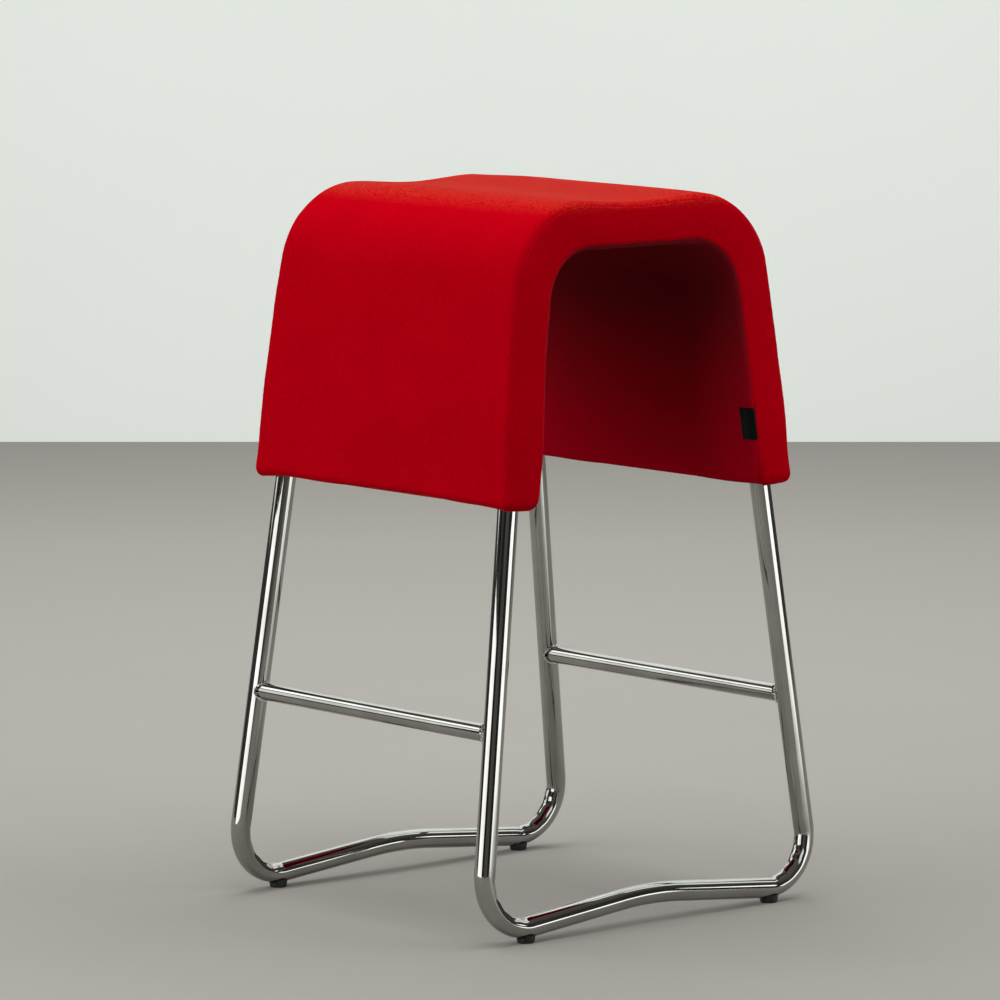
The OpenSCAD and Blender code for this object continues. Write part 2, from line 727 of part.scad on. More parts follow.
// The strip that closes the bottom of a panel round its two legs
module hem(x_side) {
    ring = concat(outer_marks, edge_marks(OUTER_EDGE, 1, edge_turns), [[PARTING, 1, 0]],
        edge_marks(TUNNEL_EDGE, 1, backwards(edge_turns)), tunnel_marks,
        edge_marks(TUNNEL_EDGE, -1, edge_turns), [[PARTING, -1, 0]],
        edge_marks(OUTER_EDGE, -1, backwards(edge_turns)));
    count = len(ring);
    faces_n = len(face_shares);
    end_n = 2 * len(edge_turns) + 1;
    tunnel_first = faces_n + end_n;
    tunnel_last = tunnel_first + faces_n - 1;
    strips = [for (j = [0 : faces_n - 2])
        let (a = j, b = j + 1, c = tunnel_last - j - 1, e = tunnel_last - j)
        each [[a, b, c], [a, c, e]]];
    rear_end = [for (j = [faces_n - 1 : tunnel_first]) j];
    front_end = concat([for (j = [tunnel_last : count - 1]) j], [0]);
    top = concat(strips, [rear_end, front_end]);
    color(felt_dark_colour)
        difference() {
            mirror([x_side < 0 ? 1 : 0, 0, 0])
                polyhedron(
                    points = concat([for (mark = ring) place(-1, mark, 0)],
                        [for (mark = ring) place(-1, mark, cover_t)]),
                    faces = concat(top,
                        [for (face = top) [for (k = backwards(face)) k + count]],
                        rim_faces([for (j = [count - 1 : -1 : 0]) j], count)),
                    convexity = 4);
            at_legs(skirt_h)
                along_leg()
                    cylinder(h = 2 * tube_d, r = tube_r + pad_gap, center = true);
        }
}

module hem_left() { hem(-1); }
module hem_right() { hem(1); }

// A plain label sewn into the tunnel's front seam on the right, lying back along the wall
module blank_label() {
    // Gap between the label and the felt
    lift = 0.2;
    label_turns = [60, 45, 30, 15, 0];
    function label_point(up, mark, out) =
        let (soft = edge_r + out,
            in = mark[0] == TUNNEL_EDGE ? edge_r - soft * cos(mark[2]) : -out,
            z = skirt_h + up,
            y_edge = end_y(z) - edge_r,
            y = mark[0] == TUNNEL_EDGE ? y_edge + soft * sin(mark[2]) : y_edge - mark[1])
        [side_x(grown(tunnel_arch, in), up) + flare(up), -y, z];
    // Round the soft edge from the seam, then along the wall; the crown of the wall lifts its end
    marks = concat([for (turn = label_turns) [TUNNEL_EDGE, 1, turn]],
        [[TUNNEL, label_w / 2, 0], [TUNNEL, label_w, 0]]);
    crown_lift = side_crown * 2 * label_w / end_y(skirt_h);
    ups = [for (i = [0 : 2]) label_up + label_h * i / 2];
    columns = len(marks);
    count = len(ups) * columns;
    points = [for (out = [lift + label_t, lift], up = ups, mark = marks)
        label_point(up, mark, out + (mark[0] == TUNNEL ? crown_lift * mark[1] / label_w : 0))];
    loop = concat([for (j = [0 : columns - 1]) j],
        [for (i = [1 : len(ups) - 1]) i * columns + columns - 1],
        [for (j = [columns - 2 : -1 : 0]) (len(ups) - 1) * columns + j],
        [for (i = [len(ups) - 2 : -1 : 1]) i * columns]);
    color(black_colour)
        polyhedron(points = points,
            faces = concat(grid_faces(len(ups), columns, 0, true),
                grid_faces(len(ups), columns, count, false), rim_faces(backwards(loop), count)),
            convexity = 4);
}

front_frame();
rear_frame();
footrest_left();
footrest_right();
footrest_welds();
glide_front_left();
glide_front_right();
glide_rear_left();
glide_rear_right();
seat_shell();
leg_bolts();
saddle_washers();
tee_nuts();
outer_pad();
inner_pad();
cover_outer();
cover_inner();
border_front();
border_rear();
hem_left();
hem_right();
blank_label();
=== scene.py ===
# %% [markdown]
# # An upholstered arch stool, dressed for its portrait
# The stool is a soft arch covered in red wool felt, which stands astride two bent frames of
# chrome-plated steel tube. The CAD model already holds every piece at its real size. This lesson
# loads it as a fixed frame, gives each metal, plastic and wooden piece its finish, and replaces
# the pieces that need more shape than a solid has: the tubes with their drawn bends, the weld
# beads, the felt with its seams, and the foam under it.
#
# Sizes are in millimetres, as a maker's drawing has them, and turn into metres when a mesh is made.
# A name that ends in _R is a radius, _H a height, _W a width and _T a thickness.

import math

import bmesh
import bpy
import numpy as np
from mathutils import Matrix, Vector


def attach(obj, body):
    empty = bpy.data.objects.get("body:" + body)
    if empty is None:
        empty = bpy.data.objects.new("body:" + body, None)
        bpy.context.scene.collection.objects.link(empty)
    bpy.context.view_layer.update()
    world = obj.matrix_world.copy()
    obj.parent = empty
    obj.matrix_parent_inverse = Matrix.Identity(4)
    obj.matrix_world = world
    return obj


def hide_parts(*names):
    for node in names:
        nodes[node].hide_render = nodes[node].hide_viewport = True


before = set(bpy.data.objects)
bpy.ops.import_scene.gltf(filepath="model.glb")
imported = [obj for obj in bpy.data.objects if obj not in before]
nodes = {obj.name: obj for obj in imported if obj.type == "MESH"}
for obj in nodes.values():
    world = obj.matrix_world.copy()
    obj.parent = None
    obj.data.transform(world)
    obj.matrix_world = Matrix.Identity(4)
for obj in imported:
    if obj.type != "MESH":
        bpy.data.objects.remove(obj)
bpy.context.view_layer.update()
MM = 0.001
print("CAD nodes:", len(nodes))

# %% [markdown]
# The camera stands where the photographer stood: almost six metres away and a little above the
# seat, with a long lens, so that the upright lines stay nearly parallel. Its place was worked out
# from the stool's own edges in the picture. The long lens is written as a focal length in pixels
# for a picture 1000 pixels wide, which the sensor's width turns into millimetres. The two angles
# are in radians.

# %% The camera
PICTURE_WIDTH = 1000
FOCAL_PIXELS = 6200
SENSOR_WIDTH = 36
CAMERA_YAW = 0.7079
CAMERA_PITCH = 0.1243
CAMERA_DISTANCE = 5692.34
AIM_HEIGHT = 367.535
AIM_ASIDE = 20.218
FARTHEST_SEEN = 50000

looking = Vector((
    math.sin(CAMERA_YAW) * math.cos(CAMERA_PITCH),
    math.cos(CAMERA_YAW) * math.cos(CAMERA_PITCH),
    -math.sin(CAMERA_PITCH),
))
rightward = Vector((math.cos(CAMERA_YAW), -math.sin(CAMERA_YAW), 0))
upward = rightward.cross(looking)
eye = Vector((0, 0, AIM_HEIGHT)) - looking * CAMERA_DISTANCE - rightward * AIM_ASIDE

camera = bpy.data.objects.new("camera", bpy.data.cameras.new("camera"))
camera.data.sensor_width = SENSOR_WIDTH
camera.data.lens = FOCAL_PIXELS * SENSOR_WIDTH / PICTURE_WIDTH
camera.data.clip_end = FARTHEST_SEEN * MM
axes = Matrix((rightward, upward, -looking)).transposed().to_4x4()
camera.matrix_world = Matrix.Translation(eye * MM) @ axes
bpy.context.scene.collection.objects.link(camera)
bpy.context.scene.camera = camera
print("camera at", [round(v) for v in eye], "mm, lens", round(camera.data.lens, 1), "mm")

# %% [markdown]
# Most pieces are grids: rows of points that follow one another along a tube or over the arch.
# Working the points out in numpy and joining them with four-sided faces gives smooth, even
# surfaces whose density is chosen where it matters. Modifiers could round and thicken plain
# shapes instead, but a sum puts every point where the drawing has it.
#
# A grid that closes on itself joins its last column to its first. A tube's grid runs out along
# its skin and back along its bore, and joins its last ring to its first as well, while a solid
# rod's grid gets a cap at each end.

# %% Faces of grids
def grid_faces(rows, columns, first=0, closed=False):
    """Four-sided faces between neighbouring rows of points."""
    across = columns if closed else columns - 1
    i, j = np.meshgrid(np.arange(rows - 1), np.arange(across), indexing="ij")
    a = first + i * columns + j
    b = first + i * columns + (j + 1) % columns
    return np.stack([a, b, b + columns, a + columns], -1).reshape(-1, 4).tolist()


def tube_faces(rings, columns):
    """Faces of rings that run out along a tube's skin and back along its bore."""
    last = (rings - 1) * columns
    join = [[j, (j + 1) % columns, last + (j + 1) % columns, last + j] for j in range(columns)]
    return grid_faces(rings, columns, closed=True) + join


def capped_faces(rings, columns):
    """Faces of rings that follow one another, with a cap on the first and the last."""
    last = (rings - 1) * columns
    caps = [list(range(columns)), [last + j for j in range(columns)]]
    return grid_faces(rings, columns, closed=True) + caps


print("a tube of 3 rings of 8 points has", len(tube_faces(3, 8)), "faces")

# %% [markdown]
# A mesh becomes an object when it is linked to the scene. Blender can then turn the faces of a
# closed shape outward. A piece of the stool is shaded smooth, rides on the stool's one body,
# and stands for the CAD node of the same thing, which it hides.

# %% Objects and pieces
def add_object(name, points, faces, finish=None):
    """A new object in the scene, from points in millimetres."""
    mesh = bpy.data.meshes.new(name)
    mesh.from_pydata((np.asarray(points, float).reshape(-1, 3) * MM).tolist(), [], faces)
    if finish:
        mesh.materials.append(finish)
    made = bpy.data.objects.new(name, mesh)
    bpy.context.scene.collection.objects.link(made)
    return made


def face_outward(mesh):
    """Turns all faces of a closed mesh outward."""
    work = bmesh.new()
    work.from_mesh(mesh)
    bmesh.ops.recalc_face_normals(work, faces=work.faces)
    work.to_mesh(mesh)
    work.free()


def piece(name, points, faces, finish, node_name):
    """A smooth piece of the stool that stands for a CAD node."""
    made = add_object(name, points, faces, finish)
    face_outward(made.data)
    made.data.polygons.foreach_set("use_smooth", [True] * len(made.data.polygons))
    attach(made, "root")
    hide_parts(node_name)
    print("made", name, "with", len(faces), "faces")
    return made


# %% [markdown]
# A finish is a node tree, and a long tree is easier to read as sums. The class below wraps one
# output socket, and Python's own signs add the Math nodes: `1 - mask` or `grain * 0.2` read as
# they would on paper. Colours and vectors go through Vector Math, or through `blend`, which adds
# a Mix node. Every other node comes from `node`, which sets its settings before its sockets.

# %% Sums on sockets
class Wire:
    """One output socket of a finish, with Python's signs for the nodes that work on it."""

    def __init__(self, tree, socket=None):
        """Keeps the node tree, and the socket, which the starting point of a finish lacks."""
        self.tree, self.socket = tree, socket

    def node(self, kind, settings=None, sockets=None, output=0):
        """Adds a node of that type, sets its settings, then the values or links of its sockets."""
        made = self.tree.nodes.new("ShaderNode" + kind)
        for name, value in (settings or {}).items():
            setattr(made, name, value)
        for key, value in (sockets or {}).items():
            if isinstance(value, Wire):
                self.tree.links.new(value.socket, made.inputs[key])
            else:
                made.inputs[key].default_value = value
        return Wire(self.tree, made.outputs[output])

    def sum(self, operation, *terms):
        """A Math node on numbers, or a Vector Math node where a term is a vector or a colour."""
        wide = any(isinstance(t, Wire) and t.socket.type in ("VECTOR", "RGBA") for t in terms)
        values = [t if isinstance(t, Wire) or not wide or hasattr(t, "__len__") else (t, t, t)
                  for t in terms]
        return self.node("VectorMath" if wide else "Math", {"operation": operation},
                         dict(enumerate(values)))

    def __add__(self, other):
        return self.sum("ADD", self, other)

    def __radd__(self, other):
        return self.sum("ADD", other, self)

    def __sub__(self, other):
        return self.sum("SUBTRACT", self, other)

    def __rsub__(self, other):
        return self.sum("SUBTRACT", other, self)

    def __mul__(self, other):
        return self.sum("MULTIPLY", self, other)

    def __rmul__(self, other):
        return self.sum("MULTIPLY", other, self)

    def blend(self, low, high):
        """The colour or value between two others, as far along as this wire says."""
        return self.node("Mix", {"data_type": "RGBA"}, {0: self, 6: low, 7: high}, output=2)

    def spread(self, low, high):
        """This wire's values from low to high, stretched to 0 to 1 and cut off beyond."""
        return self.node("MapRange", {"clamp": True}, {0: self, 1: low, 2: high})


# %% [markdown]
# A finish starts from the shader that every new material has. Numbers that are the same all over
# go straight onto its sockets, and whatever varies is fed to them by a wire. Two kinds of node
# come back in nearly every finish: soft noise, whose size is given in millimetres, and a bump,
# whose depth is.

# %% Finishes, colours, noise and bumps
def colour(red, green, blue):
    """A colour for a socket."""
    return (red, green, blue, 1)


def new_finish(name, values):
    """A material and its wires' starting point, with fixed numbers set on the shader itself."""
    material = bpy.data.materials.new(name)
    material.use_nodes = True
    shader = material.node_tree.nodes["Principled BSDF"]
    for key, value in values.items():
        shader.inputs[key].default_value = value
    print("finish:", name)
    return material, shader, Wire(material.node_tree)


def feed(wire, shader, key):
    """Links a wire to one of the shader's sockets."""
    wire.tree.links.new(wire.socket, shader.inputs[key])


def noise(start, place, size_mm, detail=2.0, rough=0.5):
    """Soft random values around 0.5, with blotches about size_mm across."""
    return start.node("TexNoise", None, {"Vector": place, "Scale": 1 / (size_mm * MM),
                                         "Detail": detail, "Roughness": rough})


def bump(start, height, depth_mm, strength=1.0):
    """Small relief, from a height wire whose full range is depth_mm deep."""
    return start.node("Bump", None, {"Height": height, "Distance": depth_mm * MM,
                                     "Strength": strength})


# %% [markdown]
# ## Chrome
# Bright chrome is a nearly perfect mirror, so nearly all of its look comes from what stands
# around it. What the material adds is what a used stool shows: hairline polishing marks that blur
# the reflection a little along the tube, a faint uneven film, and a very slight waviness. They
# go into the roughness and a shallow bump. Scratches and rust could be mixed in the same way, but
# the photographed stool's chrome is clean.

# %% The chrome finish
def chrome_finish():
    """A mirror with polishing marks, an uneven film and a slight waviness."""
    material, shader, start = new_finish("chrome", {"Metallic": 1.0})
    place = start.node("TexCoord", output=3)
    film = noise(start, place, 45, 3).spread(0.35, 0.7)
    long_marks = noise(start, place * (1.0, 1.0, 0.06), 0.7, 2).spread(0.55, 0.75)
    tint = film.blend(colour(0.41, 0.405, 0.39), colour(0.34, 0.335, 0.315))
    feed(tint, shader, "Base Color")
    feed(0.03 + film * 0.03 + long_marks * 0.05, shader, "Roughness")
    ripple = noise(start, place, 14, 1)
    feed(bump(start, ripple * 0.8 + long_marks * 0.02, 0.02, 0.5), shader, "Normal")
    return material


chrome = chrome_finish()
print("chrome has", len(chrome.node_tree.nodes), "nodes")

# %% [markdown]
# ## The two bent frames
# Each frame is one length of tube, bent into a U that runs down a leg, round a floor bend, up a
# gentle rise to the middle and back the same way. The mandrel leaves its traces in the tight
# bends: the tube draws a little narrower, turns slightly oval, and shows faint wrinkles on the
# inside. A swept grid can hold all three, which a plain pipe can't.
#
# First come the sizes, as the drawing has them. In the frame's own leaning plane, u goes out from
# the stool's middle and v goes up from the floor.

# %% Sizes of a frame
TUBE_R = 9.5
TUBE_WALL = 1.5
FOOT_SPAN_X = 295
FOOT_SPAN_Y = 353
LEG_LEAN = math.radians(7.35)
FRAME_LEAN = math.radians(3)
BEND_R = 46
RUNNER_SLOPE = math.radians(5.6)
CREST_R = 370
GLIDE_PAD = 4
SKIRT_H = 390
LEG_IN_SEAT = 90

axis_h = GLIDE_PAD + TUBE_R
bend_u = FOOT_SPAN_X / 2
bend_v = axis_h / math.cos(FRAME_LEAN) + BEND_R
floor_y = FOOT_SPAN_Y / 2 + axis_h * math.tan(FRAME_LEAN)
leg_foot = np.array([bend_u + BEND_R * math.cos(LEG_LEAN), bend_v + BEND_R * math.sin(LEG_LEAN)])
leg_top_v = (SKIRT_H + LEG_IN_SEAT) / math.cos(FRAME_LEAN)


def leg_u(v):
    """How far out a leg's centre line is, at a distance v up the frame's plane."""
    return leg_foot[0] - (v - leg_foot[1]) * math.tan(LEG_LEAN)


def leg_x(z):
    """How far to the right the right legs' centre lines are, at a height."""
    return leg_u(z / math.cos(FRAME_LEAN))


def leg_y(z):
    """How far to the rear the rear legs' centre lines are, at a height."""
    return floor_y - z * math.tan(FRAME_LEAN)


print("legs at the seat:", round(2 * leg_x(SKIRT_H), 1), "by", round(2 * leg_y(SKIRT_H), 1), "mm")

# %% [markdown]
# The centre line is drawn upright: legs and runner are straight, each bend is an arc, and one
# half of it serves for both sides. An arc needs many points, because chrome shows every corner of
# a coarse one, and a straight needs few.

# %% The tube's centre line
LEG_STEPS, BEND_STEPS, RUNNER_STEPS, CREST_STEPS = 60, 110, 20, 12


def arc(centre, radius, start, end, steps):
    """Points of an arc, without its first one."""
    angles = np.linspace(start, end, steps + 1)[1:, None]
    return np.asarray(centre) + radius * np.hstack([np.cos(angles), np.sin(angles)])


def run(start, end, steps):
    """Points of a straight stretch, without its first one."""
    share = np.linspace(0, 1, steps + 1)[1:, None]
    return np.asarray(start) * (1 - share) + np.asarray(end) * share


runner_start = np.array([bend_u - BEND_R * math.sin(RUNNER_SLOPE),
                         bend_v - BEND_R * math.cos(RUNNER_SLOPE)])
crest_u = CREST_R * math.sin(RUNNER_SLOPE)
crest_v = runner_start[1] + (runner_start[0] - crest_u) * math.tan(RUNNER_SLOPE)
leg_top = np.array([leg_u(leg_top_v), leg_top_v])
half_line = np.vstack([
    leg_top[None],
    run(leg_top, leg_foot, LEG_STEPS),
    arc((bend_u, bend_v), BEND_R, LEG_LEAN, -math.pi / 2 - RUNNER_SLOPE, BEND_STEPS),
    run(runner_start, (crest_u, crest_v), RUNNER_STEPS),
    arc((0, crest_v - CREST_R * math.cos(RUNNER_SLOPE)), CREST_R,
        math.pi / 2 - RUNNER_SLOPE, math.pi / 2, CREST_STEPS),
])
centre_line = np.vstack([half_line, (half_line[-2::-1] * (-1, 1))])
print("centre line:", len(centre_line), "points,",
      round(float(np.linalg.norm(np.diff(centre_line, axis=0), axis=1).sum())), "mm long")

# %% [markdown]
# The sweep carries a ring of points along that line. At each point it knows how far into a floor
# bend it is, from 0 on the straight to 1 well inside, with a soft start where the bending die
# took hold. That share sets the draw, the oval and the wrinkles, which are the sum of a short
# wave and a longer one, so that no two are alike. A second, narrower ring gives the bore, so the
# tube's open ends inside the seat are real tube ends.

# %% Places and bends along a frame
BEND_FADE = 12


def in_frame(u, v, aside, side):
    """Puts a point of a frame's upright plane into its leaning place at the front or the rear."""
    y = floor_y - v * math.sin(FRAME_LEAN) + aside * math.cos(FRAME_LEAN)
    z = v * math.cos(FRAME_LEAN) + aside * math.sin(FRAME_LEAN)
    return np.stack([-side * u, side * y, z], -1)


def bend_shares(line):
    """How far each point is inside one of the floor bends, softened over BEND_FADE degrees."""
    turn = np.zeros(len(line))
    outward = line[:, 0] * np.sign(line[:, 0]) - bend_u
    angle = np.degrees(np.arctan2(line[:, 1] - bend_v, outward))
    near = np.hypot(outward, line[:, 1] - bend_v) < BEND_R + 4
    low, high = -90 - math.degrees(RUNNER_SLOPE), math.degrees(LEG_LEAN)
    depth = np.minimum(angle - low, high - angle) / BEND_FADE + 0.25
    turn[near] = np.clip(depth[near], 0, 1)
    return turn * turn * (3 - 2 * turn)


print("points inside a bend:", int((bend_shares(centre_line) > 0).sum()))

# %% Sweep a frame
BEND_DRAW = 0.2
BEND_OVAL = 0.035
WRINKLE = 0.27
WRINKLE_PITCH = 17.0
LONG_PITCH = 1.63 * WRINKLE_PITCH
LONG_SHARE = 0.6
RING_POINTS = 72


def sweep_frame(name, side):
    """One bent tube with its bore; side is -1 at the front and 1 at the rear."""
    steps = np.diff(centre_line, axis=0)
    along = np.concatenate([[0], np.cumsum(np.linalg.norm(steps, axis=1))])
    ahead = np.gradient(centre_line, along, axis=0)
    ahead /= np.linalg.norm(ahead, axis=1)[:, None]
    outer_side = np.stack([ahead[:, 1], -ahead[:, 0]], -1) * -1
    bend = bend_shares(centre_line)
    rings = []
    turns = np.linspace(0, 2 * math.pi, RING_POINTS, endpoint=False)
    for radius, order in ((TUBE_R, 1), (TUBE_R - TUBE_WALL, -1)):
        inside = np.clip(-np.cos(turns), 0, 1) ** 2
        wave = (np.sin(2 * math.pi * along / WRINKLE_PITCH + side)
                + LONG_SHARE * np.sin(2 * math.pi * along / LONG_PITCH + 2 + side))
        wrinkle = WRINKLE * (bend * wave)[:, None] * inside[None]
        size = radius - BEND_DRAW * bend[:, None] + wrinkle
        flat = size * (1 - BEND_OVAL * bend[:, None]) * np.cos(turns)[None]
        wide = size * (1 + 0.5 * BEND_OVAL * bend[:, None]) * np.sin(turns)[None]
        u = centre_line[:, 0, None] + flat * outer_side[:, 0, None]
        v = centre_line[:, 1, None] + flat * outer_side[:, 1, None]
        rings.append(in_frame(u, v, wide, side)[::order])
    points = np.concatenate(rings)
    piece(f"bent_tube_{name}", points, tube_faces(len(points), RING_POINTS), chrome,
          f"{name}_frame")


sweep_frame("front", -1)
sweep_frame("rear", 1)

# %% [markdown]
# ## Footrests and their welds
# On each side a thinner bar joins the front leg to the rear leg. Its ends are coped, which means
# cut to the round of the leg. A Boolean modifier could make the cut, but it leaves narrow, uneven
# faces, which a mirror finish shows. So the curve of the cut is worked out: each line along the
# bar ends where it meets the leg's cylinder. The same curve carries the weld bead afterwards.

# %% Where a bar meets a leg
FOOTREST_R = 8
FOOTREST_WALL = 1.5
FOOTREST_H = 189
FOOTREST_STEPS = 60
FIT = 0.05

leg_way = np.array([-math.tan(LEG_LEAN) / math.cos(FRAME_LEAN), -math.tan(FRAME_LEAN), 1.0])
leg_way /= np.linalg.norm(leg_way)


def cope(bar_r, leg_r, turns):
    """How far from the leg's centre line a bar's skin meets the leg, for angles round the bar."""
    across, up = bar_r * np.cos(turns), bar_r * np.sin(turns)
    slant = across * leg_way[0] + up * leg_way[2]
    square = 1 - leg_way[1] ** 2
    middle = leg_way[1] * slant
    rest = across ** 2 + up ** 2 - slant ** 2 - leg_r ** 2
    return (np.sqrt(middle ** 2 - square * rest) - middle) / square


bar_turns = np.linspace(0, 2 * math.pi, RING_POINTS, endpoint=False)
bar_x, bar_end = leg_x(FOOTREST_H), leg_y(FOOTREST_H)
print("footrests:", round(2 * bar_end, 1), "mm from leg to leg,", round(2 * bar_x, 1), "mm apart")

# %% The footrests
def footrest(name, side):
    """One bar with its bore, cut to the round of the legs at both ends."""
    rings = []
    for radius, order in ((FOOTREST_R, 1), (FOOTREST_R - FOOTREST_WALL, -1)):
        half = bar_end - cope(radius, TUBE_R + FIT, bar_turns)
        share = np.linspace(-1, 1, FOOTREST_STEPS)[::order, None]
        x = side * (bar_x + radius * np.cos(bar_turns))
        z = FOOTREST_H + radius * np.sin(bar_turns)
        rings.append(np.stack(np.broadcast_arrays(x[None], half[None] * share, z[None]), -1))
    points = np.concatenate(rings)
    piece(f"footrest_bar_{name}", points, tube_faces(len(points), RING_POINTS), chrome,
          f"footrest_{name}")


footrest("left", -1)
footrest("right", 1)

# %% [markdown]
# A weld takes the polish less well than the tube, so its chrome is blurred, pitted and lumpy, and
# it sparkles in small points. That is a finish of its own, with a deep bump on fine noise. Each
# bead could be a plain torus, but a real one follows the cut, which isn't flat. So the beads are
# four closed loops of rings that follow it, and each ring's size swells and shrinks along the
# loop, as a bead does that was laid drop by drop.

# %% The welds' finish
def weld_finish():
    """Blurred, pitted chrome, a little paler than the tube's."""
    material, shader, start = new_finish("weld_chrome", {"Metallic": 1.0})
    place = start.node("TexCoord", output=3)
    pits = noise(start, place, 1.6, 2)
    lumps = noise(start, place, 3.2, 2)
    feed(lumps.spread(0.35, 0.65).blend(colour(0.72, 0.72, 0.70), colour(0.90, 0.90, 0.88)),
         shader, "Base Color")
    feed(0.10 + pits * 0.16, shader, "Roughness")
    feed(bump(start, lumps + pits * 0.4, 2.0, 0.9), shader, "Normal")
    return material


weld_chrome = weld_finish()

# %% The weld beads
BEAD_R = 1.9
BEAD_RIPPLES = 15
BEAD_STEPS = 160
BEAD_POINTS = 14
CORNERS = {"front_left": (-1, -1), "front_right": (1, -1),
           "rear_left": (-1, 1), "rear_right": (1, 1)}


def weld_beads():
    """The four beads as one piece."""
    points, faces = [], []
    turns = np.linspace(0, 2 * math.pi, BEAD_STEPS, endpoint=False)
    for seed, (x_side, y_side) in enumerate(CORNERS.values()):
        reach = cope(FOOTREST_R, TUBE_R, turns)
        curve = np.stack([FOOTREST_R * np.cos(turns), -reach, FOOTREST_R * np.sin(turns)], -1)
        from_bar = np.stack([np.cos(turns), 0 * turns, np.sin(turns)], -1)
        from_leg = curve - (curve @ leg_way)[:, None] * leg_way
        from_leg /= np.linalg.norm(from_leg, axis=1)[:, None]
        ripple = np.abs(np.sin(turns * BEAD_RIPPLES / 2 + seed + 0.4 * np.sin(3 * turns + seed)))
        size = BEAD_R * (0.70 + 0.30 * ripple + 0.08 * np.sin(2 * turns + 2 * seed))
        rounds = np.linspace(0, 2 * math.pi, BEAD_POINTS, endpoint=False)[None, :, None]
        ring = (curve[:, None]
                + size[:, None, None] * (np.cos(rounds) * from_bar[:, None]
                                         + np.sin(rounds) * from_leg[:, None]))
        points.append((ring + np.array([bar_x, bar_end, FOOTREST_H])) * (x_side, y_side, 1))
        loop = np.array(grid_faces(BEAD_STEPS + 1, BEAD_POINTS, closed=True))
        faces += (loop % (BEAD_STEPS * BEAD_POINTS) + seed * BEAD_STEPS * BEAD_POINTS).tolist()
    piece("weld_beads", np.concatenate(points), faces, weld_chrome, "footrest_welds")


weld_beads()

# %% [markdown]
# ## Glides
# A moulded black glide cups the tube under each floor bend, and its top follows the round
# underside of the tube. The tube could be cut out of a turned disc, but the faces along the thin
# lip would come out ragged. So the upper surface is measured: for each point of the disc, the
# height is where a vertical line first touches the tube. The rim and the sole have the small
# radii that a mould leaves, and the sole is dished so that it stands on its edge. The plastic is
# nearly black, with a fine grain and pale scuffs that dull it.

# %% The black plastic finish
def plastic_finish():
    """Nearly black, with a fine grain and pale scuffs."""
    material, shader, start = new_finish("moulded_black", {"Specular IOR Level": 0.4})
    place = start.node("TexCoord", output=3)
    grain = noise(start, place, 0.35, 3)
    scuff = noise(start, place, 3.5, 4).spread(0.52, 0.75)
    feed(scuff.blend(colour(0.012, 0.012, 0.013), colour(0.06, 0.058, 0.055)), shader, "Base Color")
    feed(0.42 + scuff * 0.25 + grain * 0.1, shader, "Roughness")
    feed(bump(start, grain, 0.04, 0.6), shader, "Normal")
    return material


moulded_black = plastic_finish()

# %% The glides
GLIDE_R = 8.75
SOLE_R = 7.75
SOLE_DISH = 0.35
GLIDE_H = 7.5
SOLE_ROUND = 0.8
RIM_ROUND = 0.5
CUP_NEAR = 40
CLEAR_OF_TUBE = 99


def tube_underside(x, y):
    """Height at which a vertical line through (x, y) meets the front left floor bend from below."""
    line = centre_line[centre_line[:, 0] > 0]
    line = line[np.hypot(line[:, 0] - bend_u, line[:, 1] - axis_h) < CUP_NEAR]
    axis = in_frame(line[:, 0], line[:, 1], 0 * line[:, 0], -1)
    off = (axis[:, 0] - x[..., None]) ** 2 + (axis[:, 1] - y[..., None]) ** 2
    drop = np.sqrt(np.clip((TUBE_R + FIT) ** 2 - off, 0, None))
    return np.where(off < (TUBE_R + FIT) ** 2, axis[:, 2] - drop, CLEAR_OF_TUBE).min(-1)


def glide(name, x_side, y_side):
    """Rings from the middle of the sole out to its edge, up the rim and back over the cup."""
    turns = np.linspace(0, 2 * math.pi, 64, endpoint=False)
    sole = [(0.01, SOLE_DISH), (SOLE_R - 2.6, SOLE_DISH), (SOLE_R - 2.2, 0.1),
            (SOLE_R - SOLE_ROUND, 0)]
    low_round = [(SOLE_R - SOLE_ROUND * (1 - math.sin(a)), SOLE_ROUND * (1 - math.cos(a)))
                 for a in np.radians([20, 45, 70, 90])]
    side = [(SOLE_R + (GLIDE_R - SOLE_R) * h / GLIDE_H, h) for h in (2, 3.5, 5, 6.2, 6.9)]
    high_round = [(GLIDE_R - RIM_ROUND * (1 - math.cos(a)), GLIDE_H - RIM_ROUND * (1 - math.sin(a)))
                  for a in np.radians([25, 50, 75, 90])]
    cup = [(r, None) for r in np.linspace(GLIDE_R - 0.9, 0.01, 14)]
    rings = []
    for radius, height in sole + low_round + side + high_round + cup:
        x = bend_u + radius * np.cos(turns)
        y = -FOOT_SPAN_Y / 2 + radius * np.sin(turns)
        roof = np.minimum(tube_underside(x, y), GLIDE_H)
        z = roof if height is None else np.minimum(roof, height)
        rings.append(np.stack([x * x_side, y * -y_side, z], -1))
    piece(f"glide_cup_{name}", rings, capped_faces(len(rings), len(turns)), moulded_black,
          f"glide_{name}")


for corner, (x_side, y_side) in CORNERS.items():
    glide(corner, x_side, y_side)

# %% [markdown]
# ## The arch
# The seat is one section carried from front to rear. Its outside and its tunnel are both arches:
# a leaning side, a round corner and a flat top. A point of the skin is found by its station along
# the arch, from -1 round the soft bottom edge, 0 to 1 up the side, 1 to 2 round the corner and
# 2 to 3 along the top, and by its share of the way from front to rear. These are the same
# functions that shaped the CAD solids, so the felt lies exactly where the drawing says.
#
# An arch is five numbers: half its width at the bottom of the panels, the lean of its sides
# there, their lean where the round corner starts, the corner's radius, and the height of its top.

# %% Sizes of the arch
PANEL_T = 43.5
TOP_T = 43.5
PANEL_OUT = 20
END_OUT = 24.5
SEAT_H = 655
SHOULDER_R = 80
TUNNEL_R = 50
SKIRT_R = 7

